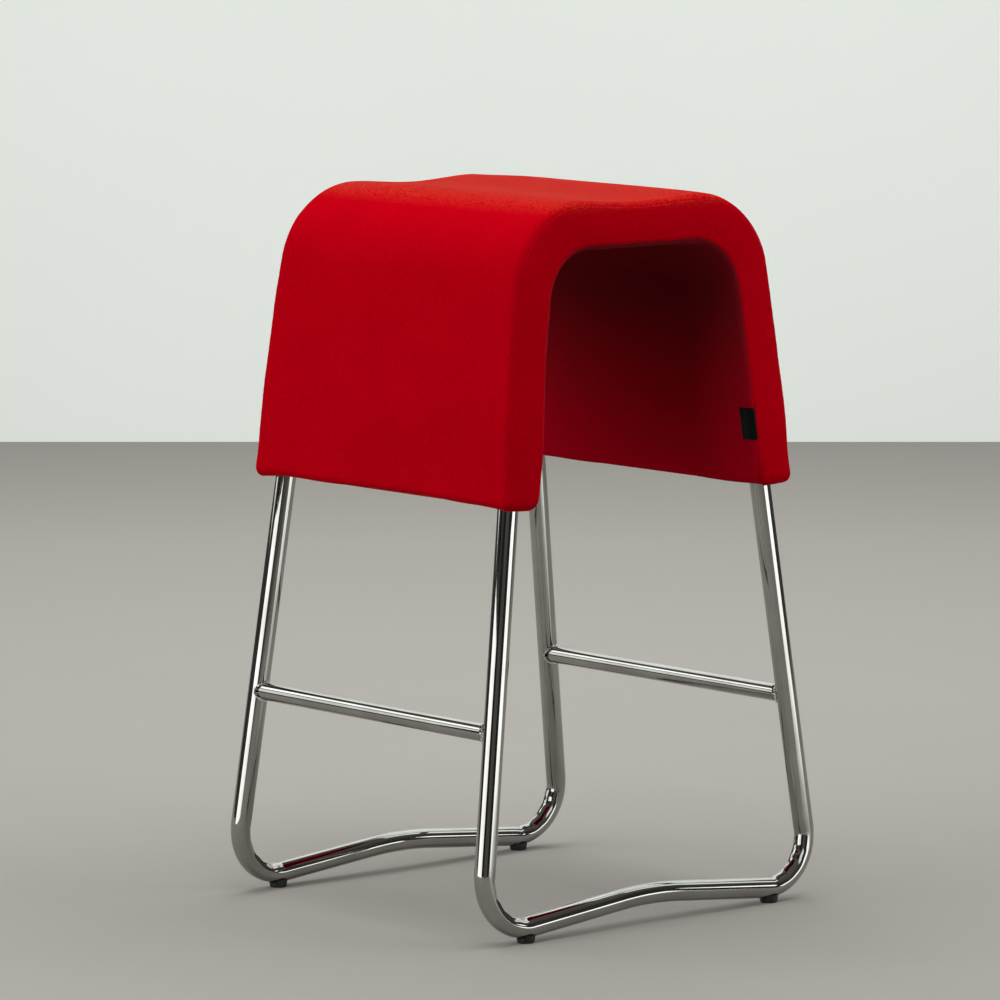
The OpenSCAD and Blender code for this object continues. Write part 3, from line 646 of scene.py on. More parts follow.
leg_side_lean = math.atan(math.tan(LEG_LEAN) / math.cos(FRAME_LEAN))
side_lean = leg_side_lean - math.radians(1.5)
shoulder_lean, tunnel_corner_lean = math.radians(9.9), math.radians(8.2)
end_lean = FRAME_LEAN + math.radians(0.5)
outer_arch = (leg_x(SKIRT_H) + PANEL_OUT, side_lean, shoulder_lean, SHOULDER_R, SEAT_H)
tunnel_arch = (outer_arch[0] - PANEL_T, side_lean, tunnel_corner_lean, TUNNEL_R, SEAT_H - TOP_T)
print("arch:", round(2 * outer_arch[0], 1), "mm wide at the hem, tunnel",
      round(2 * tunnel_arch[0], 1), "mm")

# %% Points of the arch
def grown(arch, by):
    """The arch that lies further out by a distance, measured square to it."""
    half, lean, start, radius, top = arch
    return (half + by / math.cos(lean), lean, start, radius + by, top + by)


def side_height(arch):
    """Height of an arch's side, from the bottom of the panels to where the corner starts."""
    half, lean, start, radius, top = arch
    return top - radius * (1 - math.sin(start)) - SKIRT_H


def side_x(arch, up):
    """Half width of an arch's side, at a height above the bottom of the panels."""
    half, lean, start, radius, top = arch
    bow = up * (1 - up / side_height(arch)) * (math.tan(start) - math.tan(lean))
    return half - up * math.tan(lean) + bow


def corner_x(arch):
    """How far to the right the corner's centre is."""
    half, lean, start, radius, top = arch
    return side_x(arch, side_height(arch)) - radius * math.cos(start)


def arch_point(arch, t, hem_up):
    """x and z of a station on the right half of an arch; hem_up is its height below station 0."""
    half, lean, start, radius, top = arch
    up = np.where(t < 0, hem_up, SKIRT_R + np.clip(t, 0, 1) * (side_height(arch) - SKIRT_R))
    turn = start + (math.pi / 2 - start) * np.clip(t - 1, 0, 1)
    x = np.where(t <= 1, side_x(arch, up), corner_x(arch) + radius * np.cos(turn))
    x = np.where(t > 2, corner_x(arch) * (3 - t), x)
    z = np.where(t <= 1, SKIRT_H + up, top - radius + radius * np.sin(turn))
    return x, np.where(t > 2, top, z)


def end_y(z):
    """Half depth of the seat at a height."""
    return leg_y(SKIRT_H) + END_OUT - (z - SKIRT_H) * math.tan(end_lean)


print("depth of the seat:", round(2 * float(end_y(SEAT_H)), 1), "mm on top")

# %% [markdown]
# The next function turns such a mark into a point. The face says whether it lies outside or in
# the tunnel, share runs from -1 at the front to 1 at the rear, turn goes round the soft edge from
# 0 on the face to 90 degrees on the end, and depth moves it below the surface. The faces are
# crowned, the seat dips like a saddle, and the bottoms of the panels flare and droop a little,
# the more so at their corners and at the tunnel's mouth.

# %% Points of the skin
EDGE_R = 8.5
SADDLE_DIP = 3
TOP_CROWN = 2.5
SIDE_CROWN = 1
CORNER_DROOP = 3
DROOP_FROM = 0.76
LINING_DROOP = 3
HEM_FLARE = 2.5
FLARE_H = 60
MOUTH_FLARE = 2.4
END_SAG = 1.2


def skin(face, t, share, turn=0.0, depth=0.0):
    """Points of the right half of the seat's skin, as an array of x, y, z."""
    quarter = math.pi / 2
    below = t < 0
    inset = np.where(below, SKIRT_R - (SKIRT_R - depth) * np.sin(quarter * (t + 1)), depth)
    hem_up = SKIRT_R - (SKIRT_R - depth) * np.cos(quarter * (t + 1))
    soft = EDGE_R - inset
    swell = np.clip(t, 0, 1)
    crown = SIDE_CROWN * np.sin(quarter * swell)
    if face == "outer":
        crown = crown + (TOP_CROWN - SIDE_CROWN) * np.clip(t - 1, 0, 1)
    sunk = EDGE_R - soft * np.cos(np.radians(turn)) - crown * (1 - share ** 2)
    arch = grown(outer_arch, -sunk) if face == "outer" else grown(tunnel_arch, sunk)
    x, z = arch_point(arch, t, hem_up)
    dip = 0.0
    if face == "outer":
        dip = np.where(t > 2, SADDLE_DIP * np.cos(quarter * x / corner_x(outer_arch)) ** 2, 0)
    corner = np.clip((np.abs(share) - DROOP_FROM) / (1 - DROOP_FROM), 0, 1) ** 1.5
    lining = LINING_DROOP if face == "tunnel" else 0
    hang = CORNER_DROOP * corner + lining * (1 - corner)
    flare = HEM_FLARE
    if face == "tunnel":
        hang = hang + END_SAG * np.sin(np.radians(turn)) ** 2
        flare = flare + MOUTH_FLARE * np.abs(share) ** 6
    hang = hang * np.clip(-t, 0, 1) ** 0.7
    flare = flare * np.clip(1 - (z - SKIRT_H) / FLARE_H, 0, 1) ** 2
    y = share * (end_y(z) - EDGE_R + soft * np.sin(np.radians(turn)))
    x, y, z = np.broadcast_arrays(x + flare, y, z - dip - hang)
    return np.stack([x, y, z], -1)


seat_middle = skin("outer", np.float64(3), np.float64(0))
print("the middle of the seat is", round(float(seat_middle[2]), 1), "mm up")

# %% Points of the end faces
END_PUFF = 1


def end_skin(t, end, across, depth=0.0):
    """Points of the front or rear face, across from the outside at 0 to the tunnel at 1.

    The face stands out by END_PUFF in the middle, where across * (1 - across) is a quarter.
    """
    outside = skin("outer", t, np.float64(end), 90.0, depth)
    inside = skin("tunnel", t, np.float64(end), 90.0, depth)
    across = np.asarray(across)[..., None]
    puff = np.array([0, end * END_PUFF * 4, 0]) * across * (1 - across)
    return outside + (inside - outside) * across + puff


def whole(half):
    """Adds the left half of the arch to the right half's rows of points."""
    return np.concatenate([half, half[-2::-1] * (-1, 1, 1)])


def station_marks(first, *counts):
    """Marks from one whole number to the next, as many in each stretch as its count says."""
    stretches = [first + i + np.linspace(0, 1, count)[:-1] for i, count in enumerate(counts)]
    return np.concatenate([*stretches, [first + len(counts)]])[:, None]


stations = station_marks(-1, 9, 70, 44, 30)
print("stations along the arch:", 2 * len(stations) - 1)

# %% [markdown]
# ## Wool felt
# Felt has no weave. Its fibres lie in all directions and their ends stand up as a short nap, so
# the surface scatters light softly and glows at grazing angles. Real hairs could be grown on it,
# but from six metres away each is far finer than a pixel. So the finish does their work, in three
# layers: a slow change of depth of colour, the mottle of matted fibres about a millimetre long,
# and a few pale specks of lint. A fixed sheen gives the glow, and a fine bump gives the nap its
# tooth.
#
# Use leaves its mark too: on top of the seat the nap is rubbed up into tufts, whose paler
# orange is partly that wear and partly painted sheen, the glow of the top at a grazing angle.
# High up in the tunnel the lining is painted darker, as painted shade, so its colour changes
# with the height.

# %% The felt finish
SPECK_CELL = 7
TUFTS_FROM, TUFTS_FULL = 643, 652
SHADE_PAINTED_FROM, SHADE_PAINTED_FULL = 430, 550


def felt_finish(name, lining=False):
    """Red wool felt, for the outside with painted sheen on its top, or for the lining with painted
    shade high up.
    """
    material, shader, start = new_finish(name, {
        "Roughness": 1.0,
        "Specular IOR Level": 0.0,
        "Sheen Weight": 0.25 if lining else 0.85,
        "Sheen Roughness": 0.20,
        "Sheen Tint": colour(1.0, 0.18, 0.13),
    })
    place = start.node("TexCoord", output=3)
    height = start.node("SeparateXYZ", None, {0: place}, output=2)
    cloud = noise(start, place, 70, 2).spread(0.3, 0.7)
    fibre_a = noise(start, place * (1.0, 0.3, 1.0), 1.1, 3, 0.6)
    fibre_b = noise(start, place * (0.3, 1.0, 0.35), 1.1, 3, 0.6)
    mottle = (fibre_a * 0.5 + fibre_b * 0.5).spread(0.38, 0.62)
    deep = cloud.blend(colour(0.388, 0.0, 0.0052), colour(0.418, 0.0, 0.0058))
    bright = cloud.blend(colour(0.468, 0.0, 0.0063), colour(0.500, 0.0, 0.0071))
    felt = mottle.blend(deep, bright)
    if lining:
        low = mottle.blend(colour(0.43, 0.001, 0.012), colour(0.51, 0.002, 0.015))
        # Painted shade: the lining's colour darkens with the height, from the lower limit to the
        # upper one, towards the tunnel's roof.
        felt = height.spread(SHADE_PAINTED_FROM * MM, SHADE_PAINTED_FULL * MM).blend(
            low, colour(0.195, 0.007, 0.012))
    seat = height.spread(TUFTS_FROM * MM, TUFTS_FULL * MM)
    tufts = noise(start, place, 2.4, 3, 0.8).spread(0.45, 0.59)
    grid = {"Vector": place, "Scale": 1 / (SPECK_CELL * MM)}
    cells = start.node("TexVoronoi", None, grid)
    chance = start.node("TexVoronoi", None, grid, output=1)
    lone = chance.node("SeparateColor", None, {0: chance}).spread(0.93, 0.95)
    speck = (1 - cells.spread(0.03, 0.06)) * lone
    # Painted sheen, partly real wear: the tufts on top of the seat are painted a paler orange, for
    # the glow the top shows at a grazing angle.
    tufts_and_painted_sheen = (tufts * seat * 0.43).blend(felt, colour(0.66, 0.060, 0.020))
    feed((speck * 0.35).blend(tufts_and_painted_sheen, colour(0.62, 0.12, 0.12)), shader, "Base Color")
    nap = noise(start, place, 0.7, 4, 0.65)
    matting = noise(start, place, 4.0, 3, 0.6)
    feed(bump(start, nap * 0.3 + mottle * 0.2 + matting * 0.45 + tufts * seat * 0.2, 0.8, 0.6),
         shader, "Normal")
    return material


red_felt = felt_finish("red_felt")
lining_felt = felt_finish("lining_felt", lining=True)

# %% [markdown]
# ## The felt sheets
# Four sheets make the visible cover: one over the outside, one lining the tunnel, and a border
# strip along each end of the arch. They are sewn edge to edge and turned right side out, so
# each seam is a narrow groove where both edges dive in. Each sheet here is its own grid over the
# arch, with its columns crowded near the seam to hold that groove, a slight unevenness like that
# of felt pulled over foam by hand, and a second skin below it for its thickness. Glued felt has
# no folds of its own, so these shapes come from sums and not from a cloth simulation.

# %% What felt does near a seam
SEAM_TURN = 60.0
SEAM_SWING = 36.0
SEAM_DEPTH = {"outer": 0.40, "tunnel": 0.15}
SEAM_WIDTH = 0.8
PUCKER = 0.10
PUCKER_AWAY, PUCKER_WIDTH = 3.0, 2.6
UNEVEN = {190: 0.22, 120: 0.16, 70: 0.10, 38: 0.05}


def waviness(points):
    """A slight, slow unevenness of hand-pulled felt, in millimetres, the same in every run."""
    dice = np.random.default_rng(7)
    total = np.zeros(points.shape[:-1])
    for length, height in UNEVEN.items():
        for _ in range(4):
            way = dice.normal(size=3)
            way /= np.linalg.norm(way)
            total += height * np.sin(points @ way * 2 * math.pi / length + dice.uniform(0, 6.3))
    return total


def seam_turn(t):
    """Where the seam lies on the soft edge: it swings towards the face near the bottom."""
    return SEAM_TURN - SEAM_SWING * np.clip(1 - 3 * t, 0, 1) ** 2


def groove(face, distance):
    """How deep the felt is drawn in at a distance from a seam."""
    return SEAM_DEPTH[face] * np.exp(-(distance / SEAM_WIDTH) ** 2)


def pucker(distance, points):
    """Small gathers beside a seam, of two waves that never keep step, which fade away from it."""
    along = points[..., 0] * 0.83 + points[..., 2] * 1.07
    gathers = np.sin(along * 0.62) * np.sin(along * 0.23 + 1.3)
    return PUCKER * gathers * np.exp(-((distance - PUCKER_AWAY) / PUCKER_WIDTH) ** 2)


print("the seam lies", seam_turn(0), "to", seam_turn(1), "degrees round the soft edge")

# %% Grids of a sheet
COVER_T = 1.5
HALF_SHEET = 148
SEAM_STEPS = np.array([0, 0.3, 0.6, 0.95, 1.4, 2.0, 2.8, 3.8, 4.9, 6.2, 7.6])
BORDER_STEPS = SEAM_STEPS[:8]
LONG_STEPS = np.linspace(-1, 1, 109)


def face_columns():
    """Share, turn and distance from the seam for the columns of an outer or tunnel sheet.

    The long columns stop just short of both ends, where those of the soft edge take over.
    """
    seam_arc = EDGE_R * np.radians(seam_turn(stations))
    left = 1 - SEAM_STEPS / (EDGE_R * math.radians(SEAM_TURN))
    edge = seam_turn(stations) * left
    from_seam = seam_arc * (1 - left)
    ends = np.ones(len(SEAM_STEPS))
    share = np.concatenate([-ends, LONG_STEPS * 0.9999, ends])
    inner = seam_arc + (1 - np.abs(LONG_STEPS)) * HALF_SHEET
    turn = np.concatenate([edge, 0 * inner, edge[:, ::-1]], axis=1)
    distance = np.concatenate([from_seam, inner, from_seam[:, ::-1]], axis=1)
    return share, turn, distance


def two_skins(surface):
    """Front and back points of a sheet, from a function of its depth."""
    return [whole(surface(depth)) for depth in (0.0, COVER_T)]


def closed_faces(rows, columns):
    """Faces of two skins and of the rim that joins them."""
    count = rows * columns
    loop = (list(range(columns))
            + [i * columns + columns - 1 for i in range(1, rows)]
            + [(rows - 1) * columns + j for j in range(columns - 2, -1, -1)]
            + [i * columns for i in range(rows - 2, 0, -1)])
    rim = [[a, b, b + count, a + count] for a, b in zip(loop, loop[1:] + loop[:1])]
    return grid_faces(rows, columns) + grid_faces(rows, columns, count) + rim


print("columns of a face sheet:", len(face_columns()[0]))

# %% The outer and the tunnel sheet
def face_sheet(name, face, finish, node_name):
    """The sheet over the whole outside, or the one that lines the tunnel."""
    share, turn, distance = face_columns()

    def surface(depth):
        flat_skin = skin(face, stations, share, turn, depth)
        relief = waviness(flat_skin) + pucker(distance, flat_skin)
        return skin(face, stations, share, turn, depth + groove(face, distance) - relief)

    made = piece(name, two_skins(surface), closed_faces(2 * len(stations) - 1, len(share)),
                 finish, node_name)


face_sheet("felt_outside", "outer", red_felt, "cover_outer")
face_sheet("felt_tunnel", "tunnel", lining_felt, "cover_inner")

# %% [markdown]
# A border strip starts at the seam on the outside, turns over the soft edge, crosses the end face
# with a slight puff and turns into the tunnel as far as the other seam. So its columns come in
# three groups: those near the two seams use the same sums as the sheets beside them, which makes
# the two edges of a seam meet exactly, and those between lie on the end face.

# %% The border strips
END_STEPS = np.linspace(0, 1, 15)[1:-1]


def border(name, end, node_name):
    """A strip round the soft edges and over the end face of the arch."""
    past = BORDER_STEPS / (EDGE_R * math.radians(90 - SEAM_TURN))
    near = seam_turn(stations) + (90 - seam_turn(stations)) * past
    from_seam = EDGE_R * np.radians(near - seam_turn(stations))

    def surface(depth):
        columns = []
        for face, turns, gaps in (("outer", near, from_seam),
                                  ("tunnel", near[:, ::-1], from_seam[:, ::-1])):
            share = np.float64(end)
            plain = skin(face, stations, share, turns, depth)
            relief = waviness(plain) + pucker(gaps, plain)
            sewn = depth + groove(face, gaps) - relief
            columns.append(skin(face, stations, share, turns, sewn))
        middle = end_skin(stations, end, END_STEPS, depth)
        middle = middle + np.array([0, end, 0]) * waviness(middle)[..., None]
        return np.concatenate([columns[0], middle, columns[1]], axis=1)

    count = 2 * len(BORDER_STEPS) + len(END_STEPS)
    made = piece(name, two_skins(surface), closed_faces(2 * len(stations) - 1, count), red_felt,
                 node_name)


border("felt_border_front", -1, "border_front")
border("felt_border_rear", 1, "border_rear")

# %% [markdown]
# A flat hem sheet closes the bottom of each side panel round its two legs. It joins the lowest
# points of the cover from the outside to the tunnel, and a round hole lets each leg through. The
# holes are cut with a Boolean modifier, whose cutters are leaning rods a little thicker than the
# tube, because a hole through a fine grid keeps a clean edge that way.

# %% Rods that cut
def rod(start, end, radius, points=64):
    """A closed rod between two points, used as a cutter and then removed.

    Its ring is built from two directions square to it, which any third direction gives.
    """
    way = np.asarray(end, float) - start
    way /= np.linalg.norm(way)
    aside = np.cross(way, (0.3, 1, 0.1))
    aside /= np.linalg.norm(aside)
    other = np.cross(way, aside)
    turns = np.linspace(0, 2 * math.pi, points, endpoint=False)[:, None]
    ring = radius * (np.cos(turns) * aside + np.sin(turns) * other)
    made = add_object("rod", [ring + start, ring + end], capped_faces(2, points))
    face_outward(made.data)
    return made


def cut_away(target, cutters):
    """Takes the cutters' shapes out of a piece for good."""
    for cutter in cutters:
        change = target.modifiers.new("cut", "BOOLEAN")
        change.operation, change.solver, change.object = "DIFFERENCE", "EXACT", cutter
    graph = bpy.context.evaluated_depsgraph_get()
    mesh = bpy.data.meshes.new_from_object(target.evaluated_get(graph))
    target.modifiers.clear()
    old = target.data
    target.data = mesh
    bpy.data.meshes.remove(old)
    for cutter in cutters:
        bpy.data.objects.remove(cutter)
    print("cut", target.name, "to", len(mesh.polygons), "faces")


def leg_axis(x_side, y_side, z):
    """The point of a leg's centre line at a height."""
    return np.array([x_side * leg_x(z), y_side * leg_y(z), z])


# %% The hems
LEG_HOLE = TUBE_R + 0.3
CUTTER_REACH = 40
HEM_STEPS = 90
HEM_COLUMNS = 15


def hem(name, x_side, node_name):
    """The sheet under one panel, with a hole for each leg."""
    shares = np.concatenate([-np.ones(3), np.linspace(-1, 1, HEM_STEPS), np.ones(3)])[:, None]
    turns = np.concatenate([[90, 60, 30], np.zeros(HEM_STEPS), [30, 60, 90]])[:, None]
    across = np.linspace(0, 1, HEM_COLUMNS)[None, :, None]
    lowest = np.float64(-1)

    def surface(depth):
        outside = skin("outer", lowest, shares, turns, depth)
        inside = skin("tunnel", lowest, shares, turns, depth)
        bulge = shares * END_PUFF * 4 * (turns / 90) ** 2
        grid = outside + (inside - outside) * across
        return grid + across * (1 - across) * bulge[..., None] * np.array([0, 1, 0])

    skins = [surface(depth) * (x_side, 1, 1) for depth in (0.0, COVER_T)]
    made = piece(name, skins, closed_faces(len(shares), HEM_COLUMNS), red_felt, node_name)
    cut_away(made, [rod(leg_axis(x_side, y_side, SKIRT_H - CUTTER_REACH),
                        leg_axis(x_side, y_side, SKIRT_H + CUTTER_REACH), LEG_HOLE)
                    for y_side in (-1, 1)])


hem("felt_hem_left", -1, "hem_left")
hem("felt_hem_right", 1, "hem_right")

# %% [markdown]
# ## Foam and what it holds
# Under the felt, moulded foam wraps a pressed plywood shell, and bolts clamp the legs to it. None
# of it shows on a whole stool, but the pieces are worth having for a cut-away view. The foam
# could be a copy of the felt moved inward, but its other side has to lie on the shell. So each
# moulding is a closed ring of points, felt side and shell side, carried along the arch, and a
# channel for each leg is cut out of the outer one.

# %% The foam finish
def foam_finish():
    """Yellowed foam with open cells."""
    material, shader, start = new_finish("moulded_foam", {"Specular IOR Level": 0.2})
    place = start.node("TexCoord", output=3)
    cells = start.node("TexVoronoi", None, {"Vector": place, "Scale": 1 / (0.9 * MM)})
    age = noise(start, place, 60, 3).spread(0.3, 0.7)
    feed(age.blend(colour(0.80, 0.74, 0.55), colour(0.70, 0.60, 0.38)), shader, "Base Color")
    feed(0.8 + cells * 0.15, shader, "Roughness")
    feed(bump(start, cells, 0.5, 0.6), shader, "Normal")
    return material


moulded_foam = foam_finish()

# %% The plywood shell's place in the foam
PLY_T = 6.5
EDGE_PAD = 10
TUNNEL_PAD = 7
PAD_GAP = 0.3
shell_outside = (leg_x(SKIRT_H) - TUBE_R / math.cos(leg_side_lean), leg_side_lean,
                 leg_side_lean, TUNNEL_R + PLY_T - 2, SEAT_H - TOP_T + TUNNEL_PAD + PLY_T)
shell_inside = grown(shell_outside, -PLY_T)


def shell_edge(arch, t, end, depth):
    """Points just clear of the plywood shell's edge, at the front or the rear."""
    hem_up = SKIRT_R - (SKIRT_R - depth) * np.cos(math.pi / 2 * (t + 1))
    x, z = arch_point(arch, t, hem_up)
    y = end * (end_y(z) - EDGE_PAD + PAD_GAP)
    return np.stack(np.broadcast_arrays(x, y, z), -1)


print("shell:", round(2 * shell_outside[0], 1), "mm wide outside")

# %% The two foam mouldings
FELT_GAP = 0.6
SEAM_PINCH = 1.2
FOAM_BOTTOM = -0.55


def foam_ring(t, face, outward):
    """A moulding's section at each station: its face, both ends and the side on the shell."""
    depth = COVER_T + FELT_GAP
    edges = np.array([90.0, 70, 50, 30, 15])
    near_arch = grown(shell_outside, PAD_GAP)
    far_arch = grown(shell_inside, -PAD_GAP)
    to_middle = np.linspace(0, 0.5, 5)[1:] if outward else np.linspace(1, 0.5, 5)[1:]
    parts = [skin(face, t, np.float64(-1), edges, depth + SEAM_PINCH),
             skin(face, t, np.linspace(-1, 1, 40), 0.0, depth),
             skin(face, t, np.float64(1), edges[::-1], depth + SEAM_PINCH),
             end_skin(t, 1, to_middle, depth),
             shell_edge(far_arch, t, 1, depth)]
    if outward:
        parts += [shell_edge(near_arch, t, 1, depth), shell_edge(near_arch, t, -1, depth)]
    parts += [shell_edge(far_arch, t, -1, depth), end_skin(t, -1, to_middle[::-1], depth)]
    return np.concatenate(parts, axis=1)


def foam(name, face, outward, node_name):
    """One foam moulding; the outward one lies outside the shell and holds the legs."""
    t = np.concatenate([[[FOAM_BOTTOM]], station_marks(0, 24, 16, 10)])
    rings = whole(foam_ring(t, face, outward))
    made = piece(name, rings, capped_faces(*rings.shape[:2]), moulded_foam, node_name)
    if outward:
        cut_away(made, [rod(leg_axis(x_side, y_side, SKIRT_H - 10),
                            leg_axis(x_side, y_side, SKIRT_H + LEG_IN_SEAT + 3),
                            TUBE_R + PAD_GAP)
                        for x_side in (-1, 1) for y_side in (-1, 1)])


foam("foam_outside", "outer", True, "outer_pad")
foam("foam_tunnel", "tunnel", False, "inner_pad")

# %% [markdown]
# ## The label
# A small plain label of black satin is caught in the seam at the right of the tunnel. It bends
# round the soft edge and lies back along the tunnel's wall, where its loose end lifts a little. A
# cloth simulation could lay it down, but so small and stiff a piece is only two curves. Satin has
# a fine twill and shines across its threads.

# %% The label finish
TWILL = 0.5


def label_finish():
    """Black satin with a fine slanting twill."""
    material, shader, start = new_finish("black_satin", {"Specular IOR Level": 0.10})
    place = start.node("TexCoord", output=3)
    threads = start.node("TexWave", {"bands_direction": "DIAGONAL"},
                         {"Vector": place, "Scale": 0.5 / (TWILL * MM), "Distortion": 0.6},
                         output=1)
    wear = noise(start, place, 4, 3).spread(0.5, 0.8)
    feed(wear.blend(colour(0.0022, 0.0030, 0.0024), colour(0.0070, 0.0085, 0.0075)),
         shader, "Base Color")
    feed(0.50 + threads * 0.12 + wear * 0.15, shader, "Roughness")
    feed(bump(start, threads, 0.06, 0.6), shader, "Normal")
    return material


black_satin = label_finish()

# %% The label
LABEL_H = 29
LABEL_W = 6.4
LABEL_UP = 39
LABEL_LIFT = 0.25
LABEL_T = 0.6
CURL, CURL_MORE, CURL_LEAST_AT = 0.5, 1.6, 0.35


def label():
    """The label as two skins: round the soft edge, then back along the wall."""
    round_edge = np.linspace(SEAM_TURN, 0, 12)
    along_wall = np.linspace(0, LABEL_W, 12)[1:]
    turns = np.concatenate([round_edge, 0 * along_wall])[None]
    along = np.concatenate([0 * round_edge, along_wall])[None]
    up = LABEL_UP + np.linspace(0, LABEL_H, 22)[:, None]
    tilt = (up - LABEL_UP) / LABEL_H
    curl = (along / LABEL_W) ** 2 * (CURL + CURL_MORE * (tilt - CURL_LEAST_AT) ** 2)
    crown = SIDE_CROWN * 2 * along / end_y(SKIRT_H)
    skins = []
    for out in (LABEL_LIFT + LABEL_T, LABEL_LIFT):
        out = out + curl + crown
        soft = EDGE_R + out
        sunk = EDGE_R - soft * np.cos(np.radians(turns))
        z = SKIRT_H + up
        y = end_y(z) - EDGE_R + soft * np.sin(np.radians(turns)) - along
        flare = HEM_FLARE * np.clip(1 - up / FLARE_H, 0, 1) ** 2
        x = side_x(grown(tunnel_arch, sunk), up) + flare
        skins.append(np.stack(np.broadcast_arrays(x, -y, z), -1))
    made = piece("satin_label", skins, closed_faces(up.size, turns.size), black_satin,
                 "blank_label")


label()

# %% [markdown]
# ## Plywood and fixings
# The shell, the bolts, the saddle washers and the tee nuts keep their CAD shapes, which are right
# as they are, and only get their finishes. Birch plywood has a long grain, broad bands of colour
# and fine dark pores, which all run with the depth of the seat, so their noise is stretched that
# way. Zinc plating is pale, slightly blue and spangled.

# %% Finishes for the hidden structure
def plywood_finish():
    """Birch with bands, a fine grain and dark pores."""
    material, shader, start = new_finish("birch_plywood", {"Specular IOR Level": 0.35})
    place = start.node("TexCoord", output=3)
    grain = noise(start, place * (1.0, 0.06, 1.0), 1.6, 4, 0.6)
    bands = noise(start, place * (1.0, 0.12, 1.0), 9, 2).spread(0.35, 0.65)
    pores = noise(start, place * (1.0, 0.05, 1.0), 0.5, 2).spread(0.6, 0.75)
    wood = bands.blend(colour(0.62, 0.42, 0.22), colour(0.74, 0.55, 0.32))
    feed((pores * 0.5).blend(wood, colour(0.36, 0.21, 0.10)), shader, "Base Color")
    feed(0.5 + grain * 0.2, shader, "Roughness")
    feed(bump(start, grain - pores * 0.5, 0.12, 0.5), shader, "Normal")
    return material


def zinc_finish():
    """Pale zinc with small spangles."""
    material, shader, start = new_finish("zinc_plating", {"Metallic": 1.0})
    place = start.node("TexCoord", output=3)
    spangle = noise(start, place, 1.2, 3).spread(0.35, 0.65)
    feed(spangle.blend(colour(0.52, 0.54, 0.56), colour(0.66, 0.67, 0.66)), shader, "Base Color")
    feed(0.28 + spangle * 0.2, shader, "Roughness")
    feed(bump(start, spangle, 0.02, 0.5), shader, "Normal")
    return material


finishes = {"seat_shell": plywood_finish()}
finishes.update(dict.fromkeys(("leg_bolts", "saddle_washers", "tee_nuts"), zinc_finish()))
for node_name, finish in finishes.items():
    nodes[node_name].data.materials.clear()
    nodes[node_name].data.materials.append(finish)
    print(node_name, "is finished in", finish.name)

# %% [markdown]
# ## The studio
# The stool stands on a plain pale floor in front of a paler wall. One curved backdrop could do
# for both, but the photograph shows a clear line where they meet. Floor and wall show their pale
# colour to the camera and to mirrors alone. All other light finds a duller surface there, because
# a bright floor and wall would fill the tunnel with light that a real room loses through its open
# sides. The Light Path node tells such rays apart, and its sum mixes the two surfaces.

# %% The finish of a backdrop
ahead_way = Vector((looking.x, looking.y, 0)).normalized()
FAR_AWAY = 2500


def seen_rays(start):
    """1 for rays from the camera, from mirrors and through glass, 0 for all others."""
    camera_ray = start.node("LightPath", output="Is Camera Ray")
    glossy_ray = start.node("LightPath", output="Is Glossy Ray")
    clear_ray = start.node("LightPath", output="Is Transmission Ray")
    return camera_ray + glossy_ray + clear_ray


def backdrop_finish(name, pale, deep, blotch, glow, duller, far=None):
    """A matte finish, pale and faintly glowing where it is seen, and duller for other light.

    Its colour drifts between pale and deep in blotches, and fades to far away from the camera.
    """
    material, shader, start = new_finish(name, {"Roughness": 0.9, "Specular IOR Level": 0.1,
                                                "Emission Color": pale,
                                                "Emission Strength": glow})
    place = start.node("TexCoord", output=3)
    shade = noise(start, place, blotch, 3).spread(0.25, 0.75)
    surface = shade.blend(pale, deep)
    if far:
        away = start.node("VectorMath", {"operation": "DOT_PRODUCT"},
                          {0: place, 1: tuple(ahead_way)}, output=1)
        surface = away.spread(0.0, FAR_AWAY * MM).blend(surface, far)
    feed(surface, shader, "Base Color")
    feed(bump(start, noise(start, place, 2.5, 2), 0.2, 0.3), shader, "Normal")
    dull = start.node("BsdfDiffuse", None, {"Color": colour(duller, duller, duller)})
    shown = Wire(start.tree, shader.outputs[0])
    mixed = start.node("MixShader", None, {0: seen_rays(start), 1: dull, 2: shown})
    output = start.tree.nodes["Material Output"]
    start.tree.links.new(mixed.socket, output.inputs["Surface"])
    return material


# %% [markdown]
# Places in the studio are easiest to give as the camera sees them: so far to the right, so far
# ahead and so far up. A sheet is level or stands upright over a line on the floor. The floor is
# large enough for its end to be out of sight, and the wall is only about twice as wide as the
# view, so that the chrome can mirror other things beside it.

# %% Sheets of the studio
def studio_point(aside, ahead, up):
    """A place in the studio: to the right of the view, away from the camera, and up."""
    return rightward * aside + ahead_way * ahead + Vector((0, 0, up))


def level(half, up):
    """Corners of a level square sheet around the stool."""
    return [studio_point(aside, ahead, up)
            for aside, ahead in ((-half, -half), (half, -half), (half, half), (-half, half))]


def upright(start, end, top, bottom=0):
    """Corners of an upright sheet over a line on the floor, given as aside and ahead."""
    return [studio_point(*start, bottom), studio_point(*end, bottom),
            studio_point(*end, top), studio_point(*start, top)]


def stage_sheet(name, points, finish, faces=((0, 1, 2, 3),)):
    """A part of the studio, which isn't part of the stool."""
    made = add_object(name, points, faces, finish)
    print("studio:", name)
    return made


# %% Floor and wall
FLOOR_HALF = 9000
WALL_AWAY = 3650
WALL_HALF = 1600
WALL_H = 3000
floor_finish = backdrop_finish("pale_floor", colour(0.33, 0.317, 0.290),
                               colour(0.31, 0.297, 0.272), blotch=400, glow=0.10, duller=0.24,
                               far=colour(0.50, 0.485, 0.44))
wall_finish = backdrop_finish("pale_wall", colour(0.76, 0.80, 0.75), colour(0.72, 0.76, 0.71),
                              blotch=900, glow=0.36, duller=0.20)
stage_sheet("floor", level(FLOOR_HALF, 0), floor_finish)
stage_sheet("wall", upright((-WALL_HALF, WALL_AWAY), (WALL_HALF, WALL_AWAY), WALL_H), wall_finish)

